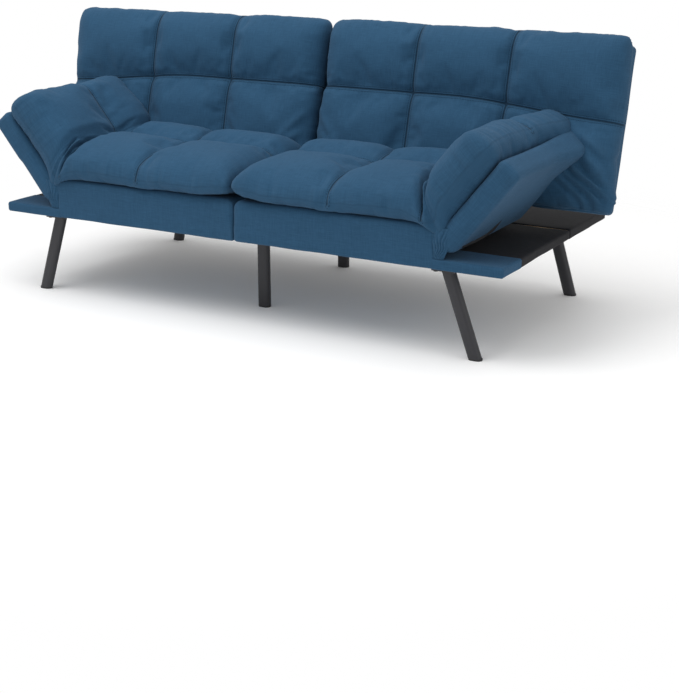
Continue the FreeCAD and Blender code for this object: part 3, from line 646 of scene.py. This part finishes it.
def box_lines(low, high, first_round, last_round, step):
    """Grid lines between two faces of a box, close together where its edges are rounded."""
    def spread(start, stop, count):
        return [start + (stop - start) * index / count for index in range(count)]

    inner, outer = low + first_round, high - last_round
    count = max(1, round((outer - inner) / step))
    return np.array(spread(low, inner, 4) + spread(inner, outer, count) + spread(outer, high, 4) + [high])


def rounded_box(low, high, radii, end_radius, step):
    """Points and faces of a padded box along Y.

    radii round its long edges, in the order low X low Z, high X low Z, high X high Z, low X high Z.
    """
    x_lines = box_lines(low[0], high[0], max(radii[0], radii[3]), max(radii[1], radii[2]), step)
    y_lines = box_lines(low[1], high[1], end_radius, end_radius, step)
    z_lines = box_lines(low[2], high[2], max(radii[0], radii[1]) * 0.98, max(radii[2], radii[3]) * 0.98, step)
    counts = (len(x_lines), len(y_lines), len(z_lines))
    numbers, spots = {}, []

    def number(spot):
        if spot not in numbers:
            numbers[spot] = len(spots)
            spots.append((x_lines[spot[0]], y_lines[spot[1]], z_lines[spot[2]]))
        return numbers[spot]

    faces = []
    for axis in range(3):
        first, second = (axis + 1) % 3, (axis + 2) % 3
        for place, outward in ((0, False), (counts[axis] - 1, True)):
            for i in range(counts[first] - 1):
                for j in range(counts[second] - 1):
                    ring = []
                    for step_i, step_j in ((0, 0), (1, 0), (1, 1), (0, 1)):
                        spot = [0, 0, 0]
                        spot[axis], spot[first], spot[second] = place, i + step_i, j + step_j
                        ring.append(number(tuple(spot)))
                    faces.append(tuple(ring if outward else reversed(ring)))
    points = np.array(spots)
    middle = (np.array(low) + np.array(high)) / 2
    side = np.where(points >= middle, 1.0, -1.0)
    corner = np.where(side[:, 2] < 0, np.where(side[:, 0] < 0, radii[0], radii[1]),
                      np.where(side[:, 0] < 0, radii[3], radii[2]))
    reach = np.stack([corner, np.full(len(points), end_radius), corner], axis=1)
    wall = np.where(side > 0, high, low)
    inside = wall - side * reach
    part = np.clip((points - inside) * side / reach, 0, 1)
    square = part ** 2
    other, third = np.roll(square, -1, axis=1), np.roll(square, -2, axis=1)
    turned = part * np.sqrt(1 - other / 2 - third / 2 + other * third / 3)
    return points + side * reach * (turned - part), faces


def soften(points, amount, scale, seed):
    """Move points by a smooth random amount, as padding does under tight cloth.

    noise_vector starts from the clock unless it is seeded, so it is seeded here.
    """
    noise.seed_set(NOISE_SEED)
    moved = []
    for point in points:
        place = Vector(point) * scale + Vector((seed, seed * 0.7, 0))
        moved.append(np.array(point) + np.array(noise.noise_vector(place)) * amount)
    return np.array(moved)


def tight_cover(name, low, high, radii, end_radius, material, size, side, hinge=None, shape=None):
    """A cover pulled over a padded frame, shaped where asked; a hinged one is drawn flat and turned up."""
    points, faces = rounded_box(low, high, radii, end_radius, size.cover_step)
    points = soften(points, size.cover_soft, 9, len(name) + SIDES[side] * 3.1)
    if shape is not None:
        points = shape(points)
    piece = make_piece(name + "_" + side, points, faces, material, SIDES[side])
    lay_cloth(piece)
    if hinge is not None:
        move_to(piece, hinge.raised(coordinates(piece)))
    return piece


# ---- settings ----

def length(name, default, description):
    return bpy.props.FloatProperty(name=name, default=default, description=description, unit="LENGTH",
                                   precision=4)


def hex_colour(name, default, description):
    return bpy.props.StringProperty(name=name, default=default, description=description)


class SofaSizes(bpy.types.PropertyGroup):
    """Sizes of the upholstery, in metres."""
    cloth_step: length("Cloth step", 0.0105, "Grid step of a cushion's cloth")
    stitch_gap: length("Stitch gap", 0.013, "Between the two rows of a twin-needle seam")
    edge_seam: length("Edge seam", 0.026, "Height of a cushion's edge seam above its box")
    arm_edge: length("Arm edge seam", 0.042, "Height of the edge seam where the cushion lies on an arm")
    end_roll: length("End roll", 0.13, "Width of the rounding at a seat cushion's front and rear")
    arm_roll: length("Arm roll", 0.052, "Width of the rounding at an arm cushion's edges")
    edge_roll: length("Edge roll", 0.075, "Width over which the top sheet rises from the edge")
    under_roll: length("Under roll", 0.045, "Width over which the bottom sheet drops from the edge")
    corner_radius: length("Corner radius", 0.036, "Rounding of a cushion's corners")
    edge_pucker: length("Edge pucker", 0.0032, "Height of the puckers along a cushion's edge seam")
    seam_pucker: length("Seam pucker", 0.0028, "Height of the puckers beside a quilting seam")
    seat_crown: length("Seat crown", 0.104, "Height of a seat cushion above its box")
    arm_crown: length("Arm crown", 0.118, "Height of an arm cushion above its box")
    back_crown: length("Back crown", 0.084, "Height of a back cushion above its board")
    overhang: length("Overhang", 0.022, "How far a cushion stands out past its box")
    rear_lift: length("Rear lift", 0.014, "How much higher a seat cushion's rear row is")
    front_slump: length("Front slump", 0.024, "How far a cushion hangs down in front of the arm hinge")
    arm_slump: length("Arm slump", 0.024, "How far an arm cushion's rear corner slides down")
    row_bow: length("Row bow", 0.038, "How far a back's cross seam dips towards its outer end")
    back_hang: length("Back hang", 0.03, "How far a back cushion's outer part hangs below the board")
    cloth_slack: bpy.props.FloatProperty(name="Cloth slack", default=0.035, min=0, max=0.2,
                                         description="Extra length of the cloth over its filling")
    cloth_bend: bpy.props.FloatProperty(name="Cloth stiffness", default=0.3, min=0,
                                        description="Bending stiffness of the cloth")
    fill_pressure: bpy.props.FloatProperty(name="Fill pressure", default=3.0, min=0,
                                           description="Pressure that fills a cushion")
    fill_cap: length("Fill cap", 0.018, "Furthest that a point moves as a cushion fills")
    fill_frames: bpy.props.IntProperty(name="Fill frames", default=18, min=1,
                                       description="Steps of the filling simulation")
    cover_step: length("Cover step", 0.016, "Grid step of a tight cover")
    cover_soft: length("Cover softness", 0.0016, "Unevenness of the padding under a tight cover")
    cover_round: length("Cover rounding", 0.014, "Rounding of a tight cover's edges")
    front_strip: length("Front strip", 0.125, "Depth of blue cloth turned over the platform's front")


class SofaColours(bpy.types.PropertyGroup):
    """Finishes, as sRGB hex values."""
    cloth: hex_colour("Cloth", "#2A4D69", "Woven polyester")
    cloth_worn: hex_colour("Rubbed cloth", "#4B6A84", "Woven polyester where it is rubbed")
    lining: hex_colour("Lining", "#1E1E21", "Non-woven lining")
    powder: hex_colour("Powder coat", "#202024", "Leg tubes")
    nylon: hex_colour("Nylon", "#1C1C1E", "Foot caps")
    zinc: hex_colour("Zinc", "#B9BCC0", "Springs, pins and fasteners")
    ecoat: hex_colour("E-coat", "#2A2A2B", "Hinge plates")
    ply: hex_colour("Plywood", "#C7A777", "Platform boards")
    pine: hex_colour("Pine", "#D8B98A", "Timber frames")
    webbing: hex_colour("Webbing", "#3B3B3D", "Elastic straps")
    paper: hex_colour("Paper", "#FFFFFF", "Studio floor")


FINISHES = {}


def finishes():
    """The materials, made once."""
    if FINISHES:
        return FINISHES
    tone = bpy.context.scene.sofa_colours
    cloth, worn = linear(tone.cloth), linear(tone.cloth_worn)
    FINISHES["cushion"] = woven_polyester("quilted_woven_polyester", cloth, worn, sewn=True)
    FINISHES["cover"] = woven_polyester("tight_woven_polyester", cloth, worn, sewn=False)
    FINISHES["lining"] = spunbond_polypropylene("spunbond_polypropylene", linear(tone.lining))
    FINISHES["powder"] = powder_coated_steel("satin_powder_coated_steel", linear(tone.powder))
    FINISHES["nylon"] = moulded_nylon("moulded_black_nylon", linear(tone.nylon))
    FINISHES["zinc"] = plated_steel("zinc_plated_steel", linear(tone.zinc), 0.35, 400)
    FINISHES["ecoat"] = plated_steel("e_coated_pressed_steel", linear(tone.ecoat), 0.5, 300)
    FINISHES["ply"] = sawn_timber("birch_plywood", linear(tone.ply), 3.0, 0)
    FINISHES["pine"] = sawn_timber("sawn_pine", linear(tone.pine), 4.0, 1)
    FINISHES["webbing"] = elastic_webbing("woven_elastic_webbing", linear(tone.webbing))
    FINISHES["paper"] = matt_paper("seamless_background_paper", linear(tone.paper), 0.9, 2.1)
    return FINISHES


def sizes():
    return bpy.context.scene.sofa_sizes


# ---- operators ----

class SofaOperator(bpy.types.Operator):
    """Shared settings of the sofa's operators."""
    bl_options = {"REGISTER", "UNDO"}


class SOFA_OT_frame_finishes(SofaOperator):
    """Give every CAD node the material that it is made of"""
    bl_idname = "sofa.frame_finishes"
    bl_label = "Frame finishes"

    KINDS = (("leg_screws", "powder"), ("join_", "zinc"), ("foot_caps", "nylon"), ("pins", "zinc"),
             ("springs", "zinc"), ("hinge", "ecoat"), ("webbing", "webbing"), ("lining", "lining"),
             ("dust", "lining"), ("frame", "pine"), ("board", "ply"), ("leg_", "powder"),
             ("cushion", "cushion"), ("cover", "cover"))

    def execute(self, context):
        for name, node in frame["nodes"].items():
            kind = next(finish for word, finish in self.KINDS if word in name)
            node.data.materials.clear()
            node.data.materials.append(finishes()[kind])
            if kind in ("cushion", "cover"):
                lay_cloth(node)
        return {"FINISHED"}


class SOFA_OT_seat_and_arm_cushions(SofaOperator):
    """Sew, fill and fold the cushion that runs from the seat over the arm, on each side"""
    bl_idname = "sofa.seat_and_arm_cushions"
    bl_label = "Seat and arm cushions"

    def execute(self, context):
        size = sizes()
        near, far = FRONT - size.overhang, SEAT_HIGH.y - 4 * MM
        pivot = ARM["right"].pivot
        outer = ARM_HIGH[0] + 6 * MM
        hinge_seam = pivot[0] - 64 * MM

        def over_arm(u):
            return smooth((u - hinge_seam + 0.02) / 0.08)

        def edge(u):
            return size.edge_seam + (size.arm_edge - size.edge_seam) * over_arm(u)

        def end_roll(u):
            return size.end_roll + (size.arm_roll - size.end_roll) * over_arm(u)

        quilt = Quilt((3 * MM, outer), (near, far), {FIRST_COLUMN: SEAT_SEAM, hinge_seam: HINGE_SEAM},
                      {FRONT + SEAT_ROW: SEAT_SEAM}, edge, end_roll, size)

        # Folds that spread from the cushion's front edge at the arm's hinge.
        for spoke in range(6):
            tip = (hinge_seam - 0.045 + 0.03 * spoke, near + 0.12 - 0.012 * abs(spoke - 2))
            height = -0.010 if spoke % 2 else 0.005
            quilt.folds.append((hinge_seam + 0.006 * spoke, near + 0.015, *tip, 0.007, height))

        def crown(u, v):
            full = size.seat_crown + (size.arm_crown - size.seat_crown) * over_arm(u)
            return full + size.rear_lift * smooth((v - FRONT - 0.2) / 0.15) * (1 - over_arm(u))

        def base(u):
            return SEAT_TOP + (ARM_HIGH[2] - SEAT_TOP) * over_arm(u)

        def drape(points):
            u, v, z = np.moveaxis(points, -1, 0)
            low = 1 - 0.6 * smooth((z - SEAT_TOP - 0.03) / 0.06)
            front = smooth((FRONT + 0.04 - v) / 0.06) * np.exp(-((u - hinge_seam - 0.045) / 0.06) ** 2) * low
            corner = smooth((v - far + 0.22) / 0.2) * smooth((u - outer + 0.14) / 0.12)
            inner = smooth((0.14 - u) / 0.14) * smooth((near + 0.12 - v) / 0.12)
            swell = smooth((u - hinge_seam) / 0.05) * smooth((near + 0.12 - v) / 0.12) * -0.010
            moved = np.stack([corner * size.arm_slump * 0.8, corner * size.arm_slump * 0.5 - swell,
                              inner * 0.014 - front * size.front_slump - corner * size.arm_slump], axis=-1)
            return points + moved

        for side, sign in SIDES.items():
            piece = sewn_cushion("seat_and_arm_cushion_" + side, quilt, crown, base, drape, side, 11.3,
                                 lambda u, v: 0.6 + 0.3 * over_arm(u))
            hinge = ARM[side]
            start, end = fold_span(hinge, (sign, 0, 0), 0.032, -0.012)
            fold_up(piece, hinge, start, end)
            tuple(start)
            tuple(end)
            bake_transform(piece)
            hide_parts("seat_cushion_" + side, "arm_cushion_" + side)
        return {"FINISHED"}


class SOFA_OT_back_cushions(SofaOperator):
    """Sew, fill and fold up the cushion of each back"""
    bl_idname = "sofa.back_cushions"
    bl_label = "Back cushions"

    def execute(self, context):
        size = sizes()
        pivot = BACK["right"].pivot
        near, far = pivot[1] + 0.004, BACK_HIGH[1] + size.overhang
        outer = BACK_HIGH[0] + 0.018
        low = pivot[1]
        row = low + BACK_ROW

        def edge(u):
            return np.full_like(u, size.edge_seam * 0.4)

        def end_roll(u):
            return np.full_like(u, size.edge_roll)

        quilt = Quilt((3 * MM, outer), (near, far), {FIRST_COLUMN: BACK_SEAM, SECOND_COLUMN: BACK_SEAM},
                      {row: BACK_SEAM}, edge, end_roll, size)
        # Folds over the outer lower corner, then two beside the split between the units.
        quilt.folds = [(0.80, low + 0.14, 0.98, low - 0.03, 0.010, -0.016),
                       (0.82, low + 0.16, 0.99, low + 0.01, 0.012, 0.009),
                       (0.78, low + 0.12, 0.93, low - 0.03, 0.009, -0.016),
                       (0.79, low + 0.13, 0.96, low - 0.02, 0.012, 0.009),
                       (0.77, low + 0.10, 0.88, low - 0.04, 0.008, -0.014),
                       (0.74, low + 0.08, 0.85, low - 0.05, 0.008, -0.012),
                       (0.80, low + 0.21, 0.97, low + 0.09, 0.014, 0.010),
                       (0.02, low + 0.14, 0.17, low + 0.02, 0.012, 0.007),
                       (0.01, low + 0.21, 0.13, low + 0.06, 0.012, 0.005)]

        def crown(u, v):
            return np.full_like(u, size.back_crown)

        def base(u):
            return np.full_like(u, BACK_HIGH[2])

        def drape(points):
            u, v, z = np.moveaxis(points, -1, 0)
            hang = smooth((u - 0.6) / 0.08) * smooth((near + 0.1 - v) / 0.1)
            bow = smooth((u - 0.42) / 0.5) * np.exp(-((v - row) / 0.12) ** 2)
            return points + np.stack([0 * u, -hang * size.back_hang - bow * size.row_bow,
                                      -0.4 * hang * size.back_hang], axis=-1)

        for side in SIDES:
            piece = sewn_cushion("back_cushion_quilted_" + side, quilt, crown, base, drape, side, 5.7,
                                 lambda u, v: 0.4 + 0.8 * smooth((low + 0.2 - v) / 0.2))
            hinge = BACK[side]
            start, end = fold_span(hinge, (0, 1, 0), 0.03, -0.02)
            fold_up(piece, hinge, start, end)
            tuple(start)
            tuple(end)
            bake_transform(piece)
            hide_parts("back_cushion_" + side)
        return {"FINISHED"}


class SOFA_OT_seat_boxes(SofaOperator):
    """Cover the two seat boxes, and the platform's front, sides and rear"""
    bl_idname = "sofa.seat_boxes"
    bl_label = "Seat boxes and platform"

    def execute(self, context):
        size = sizes()
        cloth, lining = finishes()["cover"], finishes()["lining"]
        floor, ledge = PLATFORM_LOW.z, PLATFORM_HIGH.z
        strip = FRONT + size.front_strip
        joint = SEAT_HIGH.y + 0.008
        inner, outer, end = SEAT_LOW.x - 1.5 * MM, SEAT_HIGH.x, PLATFORM_HIGH.x
        parts = (("seat_box_cover", (inner, FRONT, floor), (outer, SEAT_HIGH.y, SEAT_TOP),
                  (0.010, 0.008, 0.014, 0.026), size.cover_round, cloth, "blue_cover_fabric"),
                 ("platform_front_cover", (outer - 0.01, FRONT, floor), (end, strip, ledge),
                  (0.004, 0.007, 0.007, 0.004), 0.007, cloth, "blue_cover_fabric"),
                 ("platform_side_lining", (outer - 0.01, strip - 0.005, floor + MM),
                  (end - MM, joint, ledge - MM), (0.004, 0.006, 0.006, 0.004), 0.004, lining, "black_lining"),
                 ("platform_rear_lining", (inner, joint + 0.0015, floor), (end, PLATFORM_HIGH.y, ledge + MM),
                  (0.004, 0.006, 0.006, 0.004), 0.006, lining, "black_lining"))
        for side in SIDES:
            for name, low, high, radii, end_radius, material, slot in parts:
                piece = tight_cover(name, low, high, radii, end_radius, material, size, side)
                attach(piece, "base")
            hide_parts("seat_cover_" + side)
            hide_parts("platform_cover_" + side)
        return {"FINISHED"}


class SOFA_OT_arm_boxes(SofaOperator):
    """Cover the two arm boxes, line their undersides, and gather the cloth over the hinge's front"""
    bl_idname = "sofa.arm_boxes"
    bl_label = "Arm boxes"

    def execute(self, context):
        size = sizes()
        low, high = ARM_LOW, ARM_HIGH
        half = (high[2] - low[2]) / 2
        radii = (half, 0.018, 0.018, half)

        def ear(points):
            x, y, z = np.moveaxis(points, -1, 0)
            corner = smooth((y - high[1] + 0.2) / 0.18) * smooth((x - high[0] + 0.12) / 0.1)
            below = smooth((high[2] - z) / 0.03)
            return points + np.stack([corner * 0.018, corner * 0.004, -corner * below * 0.018], axis=-1)

        for side in SIDES:
            piece = tight_cover("arm_box_cover", low, high, radii, 0.02, finishes()["cover"], size, side,
                                ARM[side], shape=ear)
            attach(piece, ARM[side].body)
            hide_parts("arm_cover_" + side)
            self.underside(side, low)
            self.gusset(side, size)
        return {"FINISHED"}

    def underside(self, side, low):
        """Black lining under the arm, near the hinge: blue cloth is left in front and outside."""
        edge_t = (0.010, 0.014, 0.062, 0.055, 0.030)
        edge_y = (0.03, 0.18, 0.22, 0.34, 0.445)
        pivot = ARM["right"].pivot
        rows, columns = 40, 24
        points = []
        for row in range(rows + 1):
            y = edge_y[0] + (edge_y[2] - edge_y[0]) * row / rows
            wide = float(np.interp(y, edge_y, edge_t)) + 0.004 * noise.noise(Vector((y * 30, 1, 0)))
            for column in range(columns + 1):
                share = column / columns
                x = pivot[0] + wide * share
                rim = min(share * 6, (1 - share) * wide / 0.006, row / 1.5, (rows - row) / 1.5, 1)
                sag = 0.0022 + 0.004 * math.sin(math.pi * share) * math.sin(math.pi * row / rows)
                ripple = 0.0015 * noise.noise(Vector((x * 40, y * 22, 3)))
                points.append((x, FRONT + y, low[2] - (sag + ripple) * rim + 0.004 * (1 - rim)))
        piece = make_piece("arm_underside_lining_" + side, points, grid_faces(rows, columns),
                           finishes()["lining"], SIDES[side])
        move_to(piece, ARM[side].raised(coordinates(piece)))
        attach(piece, ARM[side].body)
        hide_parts("arm_lining_" + side)

    def gusset(self, side, size):
        """Loose cloth bunched between the seat box's front corner and the arm's near end."""
        rows, columns = 44, 34
        top, bottom = SEAT_TOP - 0.006, PLATFORM_HIGH.z + 0.001
        points = []
        for row in range(rows + 1):
            down = row / rows
            z = top + (bottom - top) * down
            left = SEAT_HIGH.x - 0.014 + 0.010 * down
            right = left + 0.062 - 0.034 * down ** 1.5
            for column in range(columns + 1):
                share = column / columns
                x = left + (right - left) * share
                belly = math.sin(math.pi * share) ** 0.7
                turn = math.atan2(x - SEAT_HIGH.x, z - bottom + 0.03)
                folds = math.sin(turn * 26 + 4 * noise.noise(Vector((x * 25, z * 30, 8))))
                full = 0.6 + math.sin(math.pi * down) ** 0.5
                tuck = 0.006 * belly * (0.5 + 0.5 * abs(folds) ** 0.6) * full
                rough = 0.003 * noise.noise(Vector((x * 70, z * 60, 1)))
                points.append((x, FRONT + 0.005 - tuck - rough * belly, z))
        sign = SIDES[side]
        piece = make_piece("arm_hinge_gusset_" + side, points, grid_faces(rows, columns),
                           finishes()["cover"], sign)
        lay_cloth(piece)
        hinge = ARM[side]
        start, end = fold_span(hinge, (sign, 0, 0), 0.03, 0.0)
        tuple(start)
        tuple(end)
        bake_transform(piece)


class SOFA_OT_back_boxes(SofaOperator):
    """Cover the two backs, and line their rear faces"""
    bl_idname = "sofa.back_boxes"
    bl_label = "Back boxes"

    def execute(self, context):
        size = sizes()
        low, high = BACK_LOW, BACK_HIGH
        radii = (0.014, 0.014, 0.014, 0.014)
        margin, proud = 0.03, 4.5 * MM

        def hanging(points):
            x, y, z = np.moveaxis(points, -1, 0)
            hang = smooth((x - 0.63) / 0.06) * smooth((low[1] + 0.08 - y) / 0.08)
            return points - np.stack([0 * x, 0.75 * hang * size.back_hang, 0 * x], axis=-1)

        for side in SIDES:
            piece = tight_cover("back_box_cover", low, high, radii, size.cover_round,
                                finishes()["cover"], size, side, BACK[side], shape=hanging)
            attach(piece, BACK[side].body)
            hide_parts("back_cover_" + side)
            panel = tight_cover("back_rear_lining", (low[0] + margin, low[1] + margin, low[2] - proud),
                                (high[0] - margin, high[1] - margin, low[2] + proud), (MM, MM, MM, MM), MM,
                                finishes()["lining"], size, side, BACK[side])
            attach(panel, BACK[side].body)
            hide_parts("back_lining_" + side)
        return {"FINISHED"}


class SOFA_OT_studio(SofaOperator):
    """Set up the floor, the lights and the camera"""
    bl_idname = "sofa.studio"
    bl_label = "Studio"

    TARGET = (0.316, FRONT + 0.036, -0.023)
    AZIMUTH = math.radians(29.02)
    ELEVATION = math.radians(18.1)
    DISTANCE = 3.88
    LENS = 74.2
    AMBIENT = 0.62

    def execute(self, context):
        scene = context.scene
        scene.view_settings.view_transform = "Standard"
        self.floor()
        self.camera(scene)
        self.light("key", (-1.0, -1.5, 3.3), 2.4, 64)
        self.light("top", (0.5, 0.2, 3.6), 2.6, 30)
        self.light("side", (3.0, -0.9, 1.1), 1.6, 10)
        self.surroundings(scene)
        return {"FINISHED"}

    def surroundings(self, scene):
        """A white room that the camera sees at full brightness, and that lights the sofa at a part of it."""
        world = bpy.data.worlds.new("studio")
        world.use_nodes = True
        tree = world.node_tree
        seen = add(tree, "LightPath").outputs["Is Camera Ray"]
        strength = add(tree, "MapRange", sockets={"Value": seen, "To Min": self.AMBIENT}).outputs[0]
        feed(tree, tree.nodes["Background"], {"Color": (1, 1, 1, 1), "Strength": strength})
        scene.world = world

    def floor(self):
        mesh = bpy.data.meshes.new("studio_floor")
        reach = 30
        mesh.from_pydata([(-reach, -reach, 0), (reach, -reach, 0), (reach, reach, 0), (-reach, reach, 0)], [],
                         [(0, 1, 2, 3)])
        mesh.materials.append(finishes()["paper"])
        floor = bpy.data.objects.new("studio_floor", mesh)
        bpy.context.scene.collection.objects.link(floor)

    def camera(self, scene):
        data = bpy.data.cameras.new("camera")
        data.lens = self.LENS
        camera = bpy.data.objects.new("camera", data)
        scene.collection.objects.link(camera)
        back = Vector((math.sin(self.AZIMUTH) * math.cos(self.ELEVATION),
                       -math.cos(self.AZIMUTH) * math.cos(self.ELEVATION), math.sin(self.ELEVATION)))
        camera.location = Vector(self.TARGET) + back * self.DISTANCE
        camera.rotation_euler = (-back).to_track_quat("-Z", "Y").to_euler()
        scene.camera = camera

    def light(self, name, place, width, power):
        data = bpy.data.lights.new(name, "AREA")
        data.shape = "SQUARE"
        data.size = width
        data.energy = power
        lamp = bpy.data.objects.new(name, data)
        lamp.location = place
        aim = Vector((0, 0, 0.35)) - Vector(place)
        lamp.rotation_euler = aim.to_track_quat("-Z", "Y").to_euler()
        bpy.context.scene.collection.objects.link(lamp)


STEPS = (SOFA_OT_studio, SOFA_OT_frame_finishes, SOFA_OT_seat_and_arm_cushions, SOFA_OT_back_cushions,
         SOFA_OT_seat_boxes, SOFA_OT_arm_boxes, SOFA_OT_back_boxes)


class SOFA_PT_panel(bpy.types.Panel):
    """The sofa bed's steps, in order"""
    bl_idname = "SOFA_PT_panel"
    bl_label = "Sofa Bed"
    bl_space_type = "VIEW_3D"
    bl_region_type = "UI"
    bl_category = "Sofa Bed"

    def draw(self, context):
        for step in STEPS:
            self.layout.operator(step.bl_idname)
        for group in (context.scene.sofa_sizes, context.scene.sofa_colours):
            column = self.layout.column()
            for name in group.bl_rna.properties.keys():
                if name not in ("rna_type", "name"):
                    column.prop(group, name)


CLASSES = (SofaSizes, SofaColours) + STEPS + (SOFA_PT_panel,)


def register():
    for item in CLASSES:
        bpy.utils.register_class(item)
    bpy.types.Scene.sofa_sizes = bpy.props.PointerProperty(type=SofaSizes)
    bpy.types.Scene.sofa_colours = bpy.props.PointerProperty(type=SofaColours)


def unregister():
    del bpy.types.Scene.sofa_colours
    del bpy.types.Scene.sofa_sizes
    for item in reversed(CLASSES):
        bpy.utils.unregister_class(item)


def main():
    register()
    for step in STEPS:
        category, name = step.bl_idname.split(".")
        getattr(getattr(bpy.ops, category), name)()


if __name__ == "__main__":
    main()
